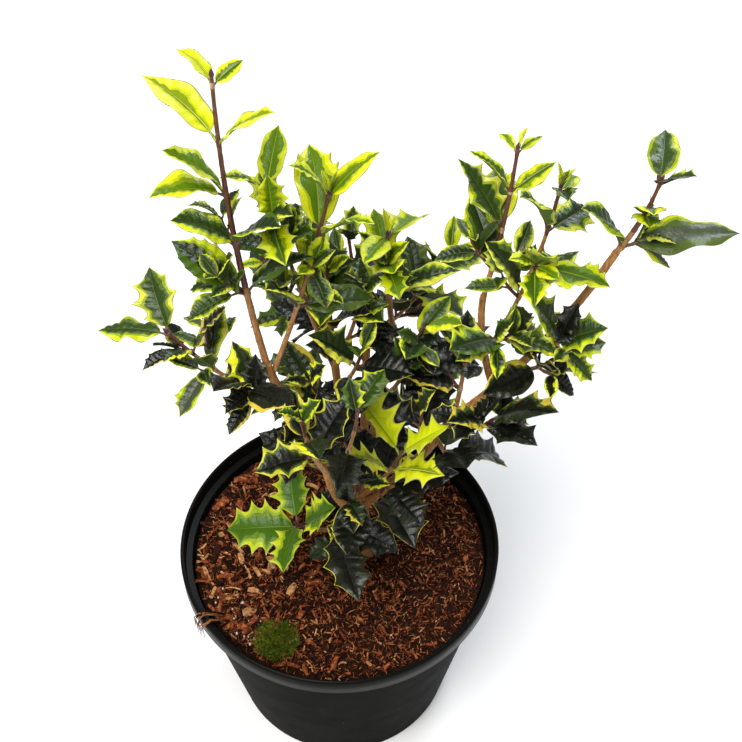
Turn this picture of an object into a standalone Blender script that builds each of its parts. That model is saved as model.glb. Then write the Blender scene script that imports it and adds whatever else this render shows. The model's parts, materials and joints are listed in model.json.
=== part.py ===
"""Potted holly olive with yellow-margined leaves: a young many-stemmed shrub in a round black nursery pot.

Every size in this file is in millimetres, and MM turns it into scene metres as a mesh is made.
+Z is up, the front of the plant looks towards -Y, and the origin is the middle of the pot's flat underside.
The trunk forks just above the compost into boughs. A shoot goes on from a bough and carries leaves in
opposite pairs, each pair a quarter turn on from the last, with short side twigs in some of their axils.
"""

import math
import random
from collections import namedtuple

import bmesh
import bpy
from mathutils import Matrix, Vector
from mathutils.bvhtree import BVHTree

MM = 0.001
GAP = 0.3
UP = Vector((0.0, 0.0, 1.0))

# Pot: a thin moulded cone with a wider band round its brim, a ledge inside the band's foot, and drain holes.
POT_HEIGHT = 140.0
LIP_RADIUS = 95.0
BAND_FOOT = 127.5
BODY_TOP_RADIUS = 90.4
BASE_RADIUS = 70.0
INSIDE_FOOT_RADIUS = 67.6
FLOOR = 2.4
LEDGE_HEIGHT = 130.0
LEDGE_RADIUS = 88.8
LEDGE_SLOPE_RADIUS = 88.4
LEDGE_SLOPE_HEIGHT = 127.6
DRAIN_HOLES = 6
DRAIN_RING = 48.0
DRAIN_RADIUS = 5.0
ROUND_STEPS = 40

# Compost: it fills the pot and rises a little to a flat patch under the trunk.
SOIL_TOP = 128.0
SOIL_FLAT_RADIUS = 30.0
SOIL_SHOULDER_RADIUS = 56.0
SOIL_SHOULDER = 127.4
SOIL_EDGE = 125.5
SOIL_ROUNDING = 0.8
MOSS_PLACE = (-35.0, -62.0)
MOSS_RADIUS = 10.5
MOSS_HEIGHT = 4.0

# Trunk: foot on the compost, root flare, and the fork where the boughs part.
TRUNK_FOOT = Vector((16.0, 1.0, SOIL_TOP + GAP))
TRUNK_FORK = Vector((12.0, 5.0, 176.0))
TRUNK_FOOT_RADIUS = 5.4
TRUNK_FORK_RADIUS = 4.3
FLARE = 3.2
FLARE_HEIGHT = 7.0
TRUNK_BOW = 1.5

# A bough leaves its parent at a share of the parent's length and bows outward on the way to its tip.
Bough = namedtuple("Bough", "parent share tip foot_radius tip_radius bow")
BOUGHS = {
    "bough_left": Bough("trunk", 0.86, (-33, -8, 303), 3.1, 2.3, 9),
    "bough_right": Bough("trunk", 0.80, (62, 0, 254), 3.1, 2.5, 8),
    "bough_middle": Bough("trunk", 0.98, (-1, 15, 284), 2.7, 2.1, 3),
    "bough_centre": Bough("trunk", 0.94, (29, 27, 296), 2.8, 2.0, 4),
    "bough_back": Bough("trunk", 0.66, (16, 66, 256), 2.9, 2.1, 12),
    "bough_front": Bough("trunk", 0.74, (-4, -40, 258), 2.6, 1.9, 12),
    "bough_far_right": Bough("bough_right", 0.96, (129, 0, 370), 2.4, 1.8, 13),
    "bough_upper_right": Bough("bough_far_right", 0.24, (72, 8, 334), 2.1, 1.7, 8),
}

# A shoot's first leaf pair stands at a share of its stem, turned by roll degrees from the right-hand side.
Shoot = namedtuple("Shoot", "limb share tip bow pairs first roll leaf spiny twigs")
SHOOTS = {
    "left_leader": Shoot("bough_left", 1.0, (-45, 0, 462), 10, 5, 0.28, 200, 36, 0.1, 2),
    "left_second": Shoot("bough_left", 0.93, (-1, 15, 390), 5, 4, 0.40, 190, 35, 0.1, 1),
    "left_thin": Shoot("bough_middle", 0.90, (-29, 12, 398), 4, 3, 0.70, 0, 28, 0.6, 0),
    "left_side": Shoot("bough_left", 0.70, (-82, 5, 311), 8, 3, 0.60, 60, 34, 0.1, 1),
    "left_fork": Shoot("bough_left", 0.84, (-44, -16, 292), 2, 2, 0.5, 200, 38, 0.4, 0),
    "rosette": Shoot("trunk", 0.45, (-23, -22, 186), 10, 2, 0.86, 100, 36, 1.0, 0),
    "lime": Shoot("trunk", 1.0, (34, -24, 253), 5, 3, 0.42, 80, 36, 1.0, 0),
    "skirt_front": Shoot("trunk", 0.60, (-2, -21, 182), 4, 2, 0.7, 300, 46, 0.9, 0),
    "skirt_right": Shoot("trunk", 0.78, (26, -14, 212), 5, 2, 0.7, 300, 40, 0.9, 0),
    "middle_top": Shoot("bough_middle", 1.0, (-3, 20, 338), 3, 3, 0.3, 170, 36, 0.5, 0),
    "middle_side": Shoot("bough_middle", 0.92, (14, 22, 322), 3, 3, 0.4, 20, 36, 0.5, 0),
    "centre_top": Shoot("bough_centre", 1.0, (26, 31, 352), 3, 3, 0.3, 10, 36, 0.5, 0),
    "centre_side": Shoot("bough_centre", 0.82, (45, 9, 312), 5, 3, 0.4, 340, 36, 0.5, 0),
    "right_inner": Shoot("bough_right", 0.99, (66, 5, 300), 3, 3, 0.4, 180, 38, 0.6, 0),
    "right_front": Shoot("bough_right", 0.90, (78, -26, 282), 6, 2, 0.75, 0, 38, 1.0, 0),
    "right_hang": Shoot("bough_right", 0.80, (58, -22, 252), 6, 2, 0.6, 300, 42, 1.0, 0),
    "far_right_top": Shoot("bough_far_right", 1.0, (142, 2, 408), 4, 3, 0.1, 350, 38, 0.2, 0),
    "far_right_side": Shoot("bough_far_right", 0.52, (108, -14, 328), 5, 2, 0.6, 330, 36, 0.8, 0),
    "right_middle": Shoot("bough_upper_right", 0.52, (84, -10, 326), 4, 2, 0.6, 20, 34, 0.4, 0),
    "right_branch": Shoot("bough_far_right", 0.36, (106, -8, 306), 4, 2, 0.6, 330, 34, 0.3, 0),
    "upper_right_top": Shoot("bough_upper_right", 1.0, (82, 20, 412), 6, 4, 0.2, 180, 33, 0.3, 1),
    "upper_right_side": Shoot("bough_upper_right", 0.36, (98, -6, 412), 8, 4, 0.4, 180, 34, 0.3, 1),
    "back_left": Shoot("bough_back", 0.80, (-40, 72, 298), 8, 4, 0.3, 120, 38, 0.6, 1),
    "back_middle": Shoot("bough_back", 1.0, (6, 86, 300), 6, 3, 0.3, 80, 38, 0.6, 1),
    "back_right": Shoot("bough_back", 0.90, (62, 74, 304), 8, 4, 0.3, 30, 38, 0.6, 1),
    "back_low_left": Shoot("bough_back", 0.42, (-28, 52, 224), 6, 3, 0.4, 100, 40, 0.9, 1),
    "back_low_right": Shoot("bough_back", 0.46, (58, 50, 224), 6, 3, 0.4, 40, 40, 0.9, 1),
    "front_left": Shoot("bough_front", 1.0, (-14, -46, 304), 4, 3, 0.35, 200, 34, 0.9, 0),
    "front_right": Shoot("bough_front", 0.84, (12, -38, 302), 5, 3, 0.5, 300, 34, 0.9, 0),
    "inner_left": Shoot("bough_middle", 0.62, (-12, -2, 282), 4, 3, 0.4, 200, 38, 0.6, 0),
    "inner_middle": Shoot("bough_middle", 0.78, (14, -2, 306), 4, 3, 0.4, 250, 38, 0.5, 0),
    "inner_centre": Shoot("bough_centre", 0.58, (36, 6, 288), 5, 3, 0.4, 290, 40, 0.6, 0),
    "inner_right": Shoot("bough_right", 0.62, (44, -10, 268), 4, 3, 0.5, 240, 40, 0.8, 0),
    "skirt_left": Shoot("bough_left", 0.30, (-18, -14, 240), 5, 3, 0.5, 200, 38, 0.8, 0),
    "skirt_middle": Shoot("bough_front", 0.34, (12, -28, 232), 4, 2, 0.6, 260, 42, 0.8, 0),
}
STEM_FOOT_RADIUS = 1.7
STEM_TIP_RADIUS = 0.95
TWIG_FOOT_RADIUS = 1.05
TWIG_TIP_RADIUS = 0.8
BOUGH_SIDES = 7
BOUGH_SPACING = 20.0
STEM_SIDES = 5
STEM_SPACING = 26.0
TWIG_SIDES = 4
OPEN_LOW = 70.0
OPEN_TOP = 40.0
TIP_LEAF_SHARE = 0.5
TWIG_LEAF_SHARE = 0.6

# A leaf that shows from the front is laid by hand: bearing from the right and lift in degrees, and length.
Lay = namedtuple("Lay", "bearing lift length")
LAID_LEAVES = {
    ("left_leader", 4, 0): Lay(145, 50, 20),
    ("left_leader", 4, 1): Lay(30, 30, 16),
    ("left_leader", 3, 0): Lay(150, 30, 42),
    ("left_leader", 3, 1): Lay(340, 40, 36),
    ("left_leader", 2, 0): Lay(200, 50, 38),
    ("left_leader", 1, 0): Lay(325, 60, 36),
    ("left_leader", 1, 1): Lay(195, 55, 34),
    ("left_leader", 0, 0): Lay(160, 30, 42),
    ("left_second", 3, 0): Lay(10, 45, 34),
    ("left_second", 3, 1): Lay(200, 55, 30),
    ("left_second", 2, 0): Lay(100, 55, 44),
    ("left_second", 2, 1): Lay(330, 35, 36),
    ("left_second", 1, 0): Lay(180, 65, 34),
    ("left_second", 0, 0): Lay(210, 45, 36),
    ("left_side", 2, 0): Lay(110, 35, 36),
    ("left_side", 2, 1): Lay(170, -5, 38),
    ("left_side", 1, 0): Lay(10, 55, 34),
    ("left_side", 1, 1): Lay(240, 50, 26),
    ("left_fork", 0, 0): Lay(150, 50, 30),
    ("left_fork", 1, 0): Lay(245, 45, 36),
    ("left_fork", 1, 1): Lay(315, 25, 40),
    ("rosette", 1, 0): Lay(100, 30, 38),
    ("rosette", 1, 1): Lay(260, 5, 34),
    ("rosette", 0, 0): Lay(180, 10, 44),
    ("rosette", 0, 1): Lay(345, 55, 34),
    ("left_thin", 2, 0): Lay(75, 40, 30),
    ("left_thin", 2, 1): Lay(200, 50, 24),
    ("left_side", 0, 1): Lay(250, 60, 24),
    ("lime", 2, 0): Lay(150, 48, 40),
    ("lime", 2, 1): Lay(355, 45, 34),
    ("lime", 1, 0): Lay(200, 45, 36),
    ("lime", 1, 1): Lay(330, 45, 36),
    ("front_right", 2, 1): Lay(60, 40, 26),
    ("front_right", 1, 0): Lay(120, 50, 30),
    ("front_right", 0, 0): Lay(235, 5, 32),
    ("inner_right", 2, 1): Lay(20, 30, 28),
    ("right_hang", 0, 1): Lay(320, 10, 34),
    ("skirt_front", 0, 0): Lay(330, 5, 38),
    ("skirt_front", 1, 0): Lay(285, -5, 48),
    ("skirt_front", 1, 1): Lay(125, 35, 38),
    ("skirt_right", 1, 0): Lay(0, 15, 42),
    ("skirt_right", 1, 1): Lay(310, 0, 34),
    ("centre_top", 2, 0): Lay(60, -20, 38),
    ("centre_top", 2, 1): Lay(245, 15, 30),
    ("centre_side", 2, 0): Lay(315, 40, 32),
    ("right_front", 1, 0): Lay(80, 5, 42),
    ("right_front", 1, 1): Lay(325, 40, 44),
    ("right_front", 0, 0): Lay(220, 40, 32),
    ("right_front", 0, 1): Lay(320, 35, 34),
    ("right_hang", 1, 0): Lay(285, 40, 42),
    ("right_hang", 1, 1): Lay(35, -35, 40),
    ("right_hang", 0, 0): Lay(240, 50, 34),
    ("far_right_top", 2, 0): Lay(75, 5, 36),
    ("far_right_top", 2, 1): Lay(320, 40, 20),
    ("far_right_top", 1, 0): Lay(265, 30, 26),
    ("far_right_top", 0, 0): Lay(0, 10, 52),
    ("far_right_top", 0, 1): Lay(200, 50, 40),
    ("far_right_side", 0, 0): Lay(350, 35, 28),
    ("right_branch", 0, 0): Lay(215, 5, 36),
    ("right_branch", 1, 0): Lay(310, 55, 34),
    ("right_branch", 1, 1): Lay(35, -40, 34),
    ("upper_right_top", 3, 0): Lay(115, 0, 16),
    ("upper_right_top", 3, 1): Lay(40, 5, 16),
    ("upper_right_top", 1, 0): Lay(145, 50, 40),
    ("upper_right_top", 1, 1): Lay(95, 20, 34),
    ("upper_right_top", 0, 0): Lay(115, 45, 36),
    ("upper_right_side", 3, 0): Lay(65, -15, 22),
    ("upper_right_side", 2, 0): Lay(215, 55, 36),
    ("upper_right_side", 2, 1): Lay(45, -10, 32),
    ("upper_right_side", 1, 0): Lay(270, 50, 32),
    ("upper_right_side", 1, 1): Lay(320, 15, 40),
    ("upper_right_side", 0, 0): Lay(180, 60, 38),
    ("inner_centre", 0, 0): Lay(60, 10, 38),
    ("inner_right", 0, 0): Lay(100, -10, 38),
    ("skirt_left", 0, 0): Lay(160, 24, 34),
    ("skirt_left", 1, 0): Lay(320, 40, 34),
}

PETIOLE_SHARE = 0.13
PETIOLE_HALF_WIDTH = 0.8
PETIOLE_HALF_DEPTH = 0.55
BLADE_HALF_DEPTH = 0.4
SPINY_HALF_WIDTH = 0.31
ENTIRE_HALF_WIDTH = 0.245
BLADE_START = 0.18
LEAF_CLEARANCE = 0.45
TWIG_OPENING = 44.0

POT_COLOUR = (0.012, 0.012, 0.013)
SOIL_COLOUR = (0.16, 0.07, 0.04)
MOSS_COLOUR = (0.06, 0.11, 0.02)
BARK_COLOUR = (0.22, 0.11, 0.05)
LEAF_COLOUR = (0.16, 0.24, 0.03)

# Turns about the stem and lifts, in degrees, tried in this order until a leaf stands clear.
LEAF_TRIES = ((0, 0), (14, 0), (-14, 0), (0, 16), (26, 8), (-26, 8), (0, -18), (38, 20), (-38, 20))

Curve = namedtuple("Curve", "start middle tip")
Twig = namedtuple("Twig", "curve foot_radius tip_radius")
Leaf = namedtuple("Leaf", "name base chord face length half_width teeth droop fold")


def bowed(start, tip, bow):
    """A parabola from start to tip that swings outward and down by half of bow at its middle."""
    start = Vector(start)
    tip = Vector(tip)
    along = (tip - start).normalized()
    outward = along * along.z - UP
    outward = outward.normalized() if outward.length > 0.01 else Vector((1.0, 0.0, 0.0))
    return Curve(start, (start + tip) / 2 + outward * bow, tip)


def place_at(curve, share):
    return curve.start.lerp(curve.middle, share).lerp(curve.middle.lerp(curve.tip, share), share)


def heading_at(curve, share):
    return (curve.middle - curve.start).lerp(curve.tip - curve.middle, share).normalized()


def length_of(curve):
    legs = (curve.middle - curve.start).length + (curve.tip - curve.middle).length
    return (legs + (curve.tip - curve.start).length) / 2


def across(axis):
    """Two unit vectors square to an axis: the first leans to the right, the second away from the front."""
    first = (Vector((1.0, 0.0, 0.0)) - axis * axis.x).normalized()
    return first, axis.cross(first)


def pointing(bearing, lift):
    bearing = math.radians(bearing)
    lift = math.radians(lift)
    return Vector((math.cos(bearing) * math.cos(lift), math.sin(bearing) * math.cos(lift), math.sin(lift)))


def tube(points, radii, sides, pointed=False):
    """Rings of sides corners round each point, with a flat foot and a flat or pointed tip."""
    vertices = []
    faces = []
    first, second = across((points[1] - points[0]).normalized())
    last = len(points) - 1
    for number, (point, radius) in enumerate(zip(points, radii)):
        along = (points[min(number + 1, last)] - points[max(number - 1, 0)]).normalized()
        first = (first - along * first.dot(along)).normalized()
        second = along.cross(first)
        for corner in range(sides):
            angle = 2 * math.pi * corner / sides
            vertices.append(point + (first * math.cos(angle) + second * math.sin(angle)) * radius)
    for ring in range(last):
        for corner in range(sides):
            here = ring * sides + corner
            there = ring * sides + (corner + 1) % sides
            faces.append((here, there, there + sides, here + sides))
    faces.append(tuple(reversed(range(sides))))
    if pointed:
        vertices.append(points[-1] + (points[-1] - points[-2]).normalized() * radii[-1] * 1.6)
        apex = len(vertices) - 1
        for corner in range(sides):
            faces.append((last * sides + corner, last * sides + (corner + 1) % sides, apex))
    else:
        faces.append(tuple(range(last * sides, (last + 1) * sides)))
    return vertices, faces


def stem_tube(twig, sides, spacing, extra=0.0, pointed=True):
    """A tube along a twig's curve, with a ring about every spacing millimetres."""
    rings = max(2, round(length_of(twig.curve) / spacing) + 1)
    shares = [ring / (rings - 1) for ring in range(rings)]
    points = [place_at(twig.curve, share) for share in shares]
    radii = [twig.foot_radius + (twig.tip_radius - twig.foot_radius) * share + extra for share in shares]
    return tube(points, radii, sides, pointed)


def leaf_outline(leaf):
    """(share of length, half width) up one side, from the petiole's root to the leaf's tip."""
    blade = 1.0 - PETIOLE_SHARE

    def row(point, scale):
        width = leaf.half_width * math.sin(math.pi * point**0.85) ** 0.7
        return PETIOLE_SHARE + blade * point, width * scale

    side = [(0.0, PETIOLE_HALF_WIDTH)]
    if leaf.teeth:
        step = 0.82 / (leaf.teeth + 0.25)
        for tooth in range(leaf.teeth):
            point = 0.12 + step * (tooth + 0.3)
            side += [row(point, 1.12), row(point + step * 0.42, 0.66)]
    else:
        side += [row(0.26, 1.0), row(0.66, 1.0)]
    side.append((1.0, 0.0))
    return side


def leaf_point(leaf, share, aside, rise):
    """A point of the bent blade: share of its length, millimetres beside the midrib and above the blade."""
    bend = max(leaf.droop, 0.01)
    stretch = leaf.length * bend / (2 * math.sin(bend / 2))
    turned = bend * (0.5 - share)
    forward = stretch * (math.sin(bend / 2) - math.sin(turned)) / bend
    raised = stretch * (math.cos(turned) - math.cos(bend / 2)) / bend
    normal = leaf.face * math.cos(turned) - leaf.chord * math.sin(turned)
    beside = leaf.face.cross(leaf.chord)
    return (
        leaf.base
        + leaf.chord * forward
        + leaf.face * raised
        + beside * aside * math.cos(leaf.fold)
        + normal * (abs(aside) * math.sin(leaf.fold) + rise)
    )


def strip(outer, inner, shares_outer, shares_inner):
    """Triangles between two chains of vertices that run side by side and end in the same vertex."""
    faces = []
    here = 0
    there = 0
    while here < len(outer) - 1 or there < len(inner) - 1:
        step_outer = there == len(inner) - 1 or (
            here < len(outer) - 1 and shares_outer[here + 1] <= shares_inner[there + 1]
        )
        corner = outer[here + 1] if step_outer else inner[there + 1]
        face = (outer[here], corner, inner[there])
        if len(set(face)) == 3:
            faces.append(face)
        here += step_outer
        there += not step_outer
    return faces


def leaf_solid(leaf, margin=0.0, start=0.0):
    """A thin lens-shaped blade on a petiole, as one closed solid; margin swells it on all sides.

    The midrib has a corner beside each valley between two spines, so that every facet spreads outward from it.
    """
    rows = leaf_outline(leaf)
    outline = [(start, PETIOLE_HALF_WIDTH)] + [row for row in rows if row[0] > start]
    middles = [start] + ([row[0] for row in rows[2:-2:2]] if leaf.teeth else [0.5])
    vertices = []
    left = []
    right = []
    for share, width in outline[:-1]:
        for chain, sign in ((left, 1), (right, -1)):
            chain.append(len(vertices))
            vertices.append(leaf_point(leaf, share, sign * (width + margin), 0.0))
    over = []
    under = []
    for share in middles:
        depth = PETIOLE_HALF_DEPTH if share == start else BLADE_HALF_DEPTH
        for chain, sign in ((over, 1), (under, -1)):
            chain.append(len(vertices))
            vertices.append(leaf_point(leaf, share, 0.0, sign * (depth + margin)))
    tip = len(vertices)
    vertices.append(leaf_point(leaf, 1.0 + margin / leaf.length, 0.0, 0.0))
    for chain in (left, right, over, under):
        chain.append(tip)
    sides = [row[0] for row in outline]
    middle = middles + [1.0]
    faces = []
    for edge, ridge in ((left, over), (right, over), (right, under), (left, under)):
        faces += strip(edge, ridge, sides, middle)
    faces.append((left[0], over[0], right[0], under[0]))
    return vertices, faces


def tree_of(solid):
    """A solid's search tree with its lowest and highest corners."""
    vertices, faces = solid
    low = [min(vertex[axis] for vertex in vertices) for axis in range(3)]
    high = [max(vertex[axis] for vertex in vertices) for axis in range(3)]
    return BVHTree.FromPolygons(vertices, faces), low, high


def touches(tree, others):
    found, low, high = tree
    for other, other_low, other_high in others:
        apart = any(high[axis] < other_low[axis] or other_high[axis] < low[axis] for axis in range(3))
        if not apart and found.overlap(other):
            return True
    return False


def make_leaf(name, node, chord, axis, length, spiny):
    """A leaf with its upper side turned to the light and to the stem that bears it; its name is its seed."""
    chance = random.Random(name)
    face = axis * 0.5 + UP * 0.9
    face = (face - chord * face.dot(chord)).normalized()
    face = Matrix.Rotation(math.radians(chance.uniform(-16, 16)), 3, chord) @ face
    droop = math.radians(chance.uniform(18, 62))
    fold = math.radians(chance.uniform(4, 22))
    teeth = (2 if length < 38 else 3) if spiny else 0
    share = SPINY_HALF_WIDTH if spiny else ENTIRE_HALF_WIDTH
    half_width = length * share * chance.uniform(0.9, 1.12)
    return Leaf(name, node, chord, face, length, half_width, teeth, droop, fold)


def way_out(stem, share, roll, opening):
    """The node at a share of a stem, the way out of it for a roll about the stem, and the stem's heading."""
    axis = heading_at(stem, share)
    first, second = across(axis)
    angle = math.radians(roll)
    aside = first * math.cos(angle) + second * math.sin(angle)
    opening = math.radians(opening)
    way = axis * math.cos(opening) + aside * math.sin(opening)
    return place_at(stem, share), way.normalized(), axis


class Mass:
    """One foliage mass as it grows: its stem, side twigs and leaves, with search trees to test against."""

    def __init__(self, stem):
        self.stem = stem
        self.twigs = []
        self.leaves = []
        self.wholes = [tree_of(stem_tube(stem, STEM_SIDES, STEM_SPACING))]
        self.blades = list(self.wholes)

    def add_leaf(self, name, curve, share, roll, opening, length, spiny, taken, laid=None):
        """Adds the first leaf of the tries that stands clear of everything else, or none."""
        for turn, lift in LEAF_TRIES:
            node, chord, axis = way_out(curve, share, roll + turn, opening - lift)
            if laid:
                chord = pointing(laid.bearing + turn, laid.lift + lift)
                length = laid.length
            leaf = make_leaf(name, node, chord, axis, length, spiny)
            whole = tree_of(leaf_solid(leaf, LEAF_CLEARANCE))
            blade = tree_of(leaf_solid(leaf, LEAF_CLEARANCE, BLADE_START))
            if not touches(whole, taken) and not touches(blade, self.blades):
                self.leaves.append(leaf)
                self.wholes.append(tree_of(leaf_solid(leaf)))
                self.blades.append(tree_of(leaf_solid(leaf, 0.0, BLADE_START)))
                return

    def add_twig(self, share, roll, length, shoot, seed, taken):
        """Adds a short side twig in a leaf's axil, with a pair of leaves and a smaller pair at its end."""
        chance = random.Random(seed)
        node, way, _ = way_out(self.stem.curve, share, roll, TWIG_OPENING)
        twig = Twig(bowed(node, node + way * length, 1.5), TWIG_FOOT_RADIUS, TWIG_TIP_RADIUS)
        if touches(tree_of(stem_tube(twig, TWIG_SIDES, STEM_SPACING, LEAF_CLEARANCE)), taken):
            return
        self.twigs.append(twig)
        self.wholes.append(tree_of(stem_tube(twig, TWIG_SIDES, STEM_SPACING)))
        for level, (along, size) in enumerate(((0.55, 1.0), (0.97, 0.75))):
            turned = roll + 90 * level + chance.uniform(-25, 25)
            for side in (0, 180):
                long = shoot.leaf * TWIG_LEAF_SHARE * size * chance.uniform(0.85, 1.15)
                spiny = chance.random() < shoot.spiny
                self.add_leaf(f"{seed} {level} {side}", twig.curve, along, turned + side, 58, long, spiny, taken)


def trunk_radius(height):
    taper = height / (TRUNK_FORK.z - TRUNK_FOOT.z)
    flare = FLARE * math.exp(-height / FLARE_HEIGHT)
    return TRUNK_FOOT_RADIUS + (TRUNK_FORK_RADIUS - TRUNK_FOOT_RADIUS) * taper + flare


def trunk_tube(extra=0.0, sides=12):
    curve = bowed(TRUNK_FOOT, TRUNK_FORK, TRUNK_BOW)
    shares = (0.0, 0.06, 0.15, 0.3, 0.55, 0.8, 1.0)
    points = [place_at(curve, share) for share in shares]
    points[-1] += heading_at(curve, 1.0) * extra
    radii = [trunk_radius(point.z - TRUNK_FOOT.z) + extra for point in points]
    vertices, faces = tube(points, radii, sides)
    foot = TRUNK_FOOT.z
    for vertex in vertices[:sides]:
        vertex.z = foot
    return vertices, faces


def lay_limbs():
    """The boughs' twigs by name, each from its parent's middle line to its tip."""
    limbs = {"trunk": Twig(bowed(TRUNK_FOOT, TRUNK_FORK, TRUNK_BOW), TRUNK_FOOT_RADIUS, TRUNK_FORK_RADIUS)}
    for name, bough in BOUGHS.items():
        start = place_at(limbs[bough.parent].curve, bough.share)
        limbs[name] = Twig(bowed(start, bough.tip, bough.bow), bough.foot_radius, bough.tip_radius)
    return limbs


def lay_stem(shoot, limbs):
    """The stem of a foliage mass, from inside its limb to its tip."""
    limb = limbs[shoot.limb]
    radius = limb.foot_radius + (limb.tip_radius - limb.foot_radius) * shoot.share
    start = place_at(limb.curve, shoot.share)
    if shoot.share == 1.0:
        start -= heading_at(limb.curve, 1.0)
    foot = radius * (0.95 if shoot.share == 1.0 else 0.7)
    return Twig(bowed(start, shoot.tip, shoot.bow), min(foot, STEM_FOOT_RADIUS * 1.3), STEM_TIP_RADIUS)


def limb_solid(name, limb, extra=0.0):
    if name == "trunk":
        return trunk_tube(extra)
    curve = limb.curve
    if extra:
        curve = Curve(curve.start, curve.middle, curve.tip + heading_at(curve, 1.0) * extra)
    return stem_tube(Twig(curve, limb.foot_radius, limb.tip_radius), BOUGH_SIDES, BOUGH_SPACING, extra, False)


def pair_share(shoot, level):
    """The share of a shoot's stem at which a leaf pair stands; the last pair is at its tip."""
    return shoot.first + (0.97 - shoot.first) * level / max(shoot.pairs - 1, 1)


def grow_plant(ground):
    """Grows every mass: first the leaf pairs of all stems, then the side twigs, each where room is left."""
    limbs = lay_limbs()
    masses = {name: Mass(lay_stem(shoot, limbs)) for name, shoot in SHOOTS.items()}
    fixed = ground + [tree_of(limb_solid(name, limb)) for name, limb in limbs.items()]

    def taken_for(name):
        return fixed + [tree for other in masses if other != name for tree in masses[other].wholes]

    for name, shoot in SHOOTS.items():
        taken = taken_for(name)
        for level in reversed(range(shoot.pairs)):
            along = level / max(shoot.pairs - 1, 1)
            opening = OPEN_LOW + (OPEN_TOP - OPEN_LOW) * along
            size = 1.0 - (1.0 - TIP_LEAF_SHARE) * along**2
            for side in (0, 1):
                seed = f"{name} {level} {side}"
                chance = random.Random(seed + " place")
                roll = shoot.roll + 90 * level + 180 * side + chance.uniform(-12, 12)
                length = shoot.leaf * size * chance.uniform(0.9, 1.1)
                spiny = chance.random() < shoot.spiny
                laid = LAID_LEAVES.get((name, level, side))
                curve = masses[name].stem.curve
                share = pair_share(shoot, level)
                masses[name].add_leaf(seed, curve, share, roll, opening, length, spiny, taken, laid)
    for name, shoot in SHOOTS.items():
        taken = taken_for(name)
        for number in range(shoot.twigs):
            level = number % max(shoot.pairs - 1, 1)
            share = pair_share(shoot, level)
            seed = f"{name} twig {number}"
            chance = random.Random(seed)
            roll = shoot.roll + 90 * level + 180 * (number % 2) + chance.uniform(-20, 20)
            length = shoot.leaf * chance.uniform(0.35, 0.6)
            masses[name].add_twig(share, roll, length, shoot, seed, taken)
    return limbs, masses


def turned(profile, steps=ROUND_STEPS):
    """A closed solid turned from (radius, height) rows that start and end on the axis."""
    vertices = [Vector((0.0, 0.0, profile[0][1]))]
    for radius, height in profile[1:-1]:
        for step in range(steps):
            angle = 2 * math.pi * step / steps
            vertices.append(Vector((radius * math.cos(angle), radius * math.sin(angle), height)))
    vertices.append(Vector((0.0, 0.0, profile[-1][1])))
    last = len(vertices) - 1
    rows = len(profile) - 2
    faces = []
    for step in range(steps):
        after = (step + 1) % steps
        faces.append((0, 1 + after, 1 + step))
        for row in range(rows - 1):
            here = 1 + row * steps
            faces.append((here + step, here + after, here + steps + after, here + steps + step))
        top = 1 + (rows - 1) * steps
        faces.append((top + step, top + after, last))
    return vertices, faces


def pot_solid():
    """Out over the underside, up the outer wall, over the brim, and down inside to the floor."""
    outside = [
        (0.0, 0.0),
        (BASE_RADIUS - 2.0, 0.0),
        (BASE_RADIUS, 1.6),
        (BODY_TOP_RADIUS, BAND_FOOT),
        (LIP_RADIUS - 0.8, BAND_FOOT + 0.6),
        (LIP_RADIUS, BAND_FOOT + 1.6),
        (LIP_RADIUS, POT_HEIGHT - 1.3),
        (LIP_RADIUS - 0.6, POT_HEIGHT - 0.3),
        (LIP_RADIUS - 1.3, POT_HEIGHT),
    ]
    inside = [
        (LIP_RADIUS - 2.1, POT_HEIGHT - 0.4),
        (LIP_RADIUS - 2.4, POT_HEIGHT - 1.6),
        (LIP_RADIUS - 2.8, LEDGE_HEIGHT + 1.2),
        (LEDGE_RADIUS, LEDGE_HEIGHT),
        (LEDGE_SLOPE_RADIUS, LEDGE_SLOPE_HEIGHT),
        (INSIDE_FOOT_RADIUS, FLOOR),
        (0.0, FLOOR),
    ]
    return turned(outside + inside)


def drain_cutters(collection):
    """Upright plugs on a ring, each through the pot's floor."""
    for hole in range(DRAIN_HOLES):
        place = pointing(360.0 * hole / DRAIN_HOLES, 0.0) * DRAIN_RING
        ends = [place - UP * FLOOR, place + UP * FLOOR * 2]
        new_object("plug", tube(ends, [DRAIN_RADIUS] * 2, 12), collection)


def soil_solid():
    """The compost: clear of the pot by the gap, with a flat patch in the middle."""
    wall_slope = (LEDGE_SLOPE_RADIUS - INSIDE_FOOT_RADIUS) / (LEDGE_SLOPE_HEIGHT - FLOOR)
    foot = INSIDE_FOOT_RADIUS - GAP
    brim = foot + wall_slope * (SOIL_EDGE - SOIL_ROUNDING - FLOOR - GAP)
    return turned(
        [
            (0.0, FLOOR + GAP),
            (foot, FLOOR + GAP),
            (brim, SOIL_EDGE - SOIL_ROUNDING),
            (brim - 2.0, SOIL_EDGE),
            (SOIL_SHOULDER_RADIUS, SOIL_SHOULDER),
            (SOIL_FLAT_RADIUS, SOIL_TOP),
            (0.0, SOIL_TOP),
        ]
    )


def moss_solid():
    """A low cushion that rests on the compost's slope with the inner edge of its flat foot."""
    vertices, faces = turned(
        [
            (0.0, 0.0),
            (MOSS_RADIUS * 0.8, 0.0),
            (MOSS_RADIUS, MOSS_HEIGHT * 0.3),
            (MOSS_RADIUS * 0.75, MOSS_HEIGHT * 0.85),
            (0.0, MOSS_HEIGHT),
        ],
        14,
    )
    inner_edge = math.hypot(*MOSS_PLACE) - MOSS_RADIUS * 0.8
    slope = (SOIL_SHOULDER - SOIL_EDGE) / (LEDGE_RADIUS - SOIL_SHOULDER_RADIUS)
    foot = SOIL_SHOULDER - slope * (inner_edge - SOIL_SHOULDER_RADIUS) + GAP
    return [vertex + Vector((*MOSS_PLACE, foot)) for vertex in vertices], faces


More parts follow.
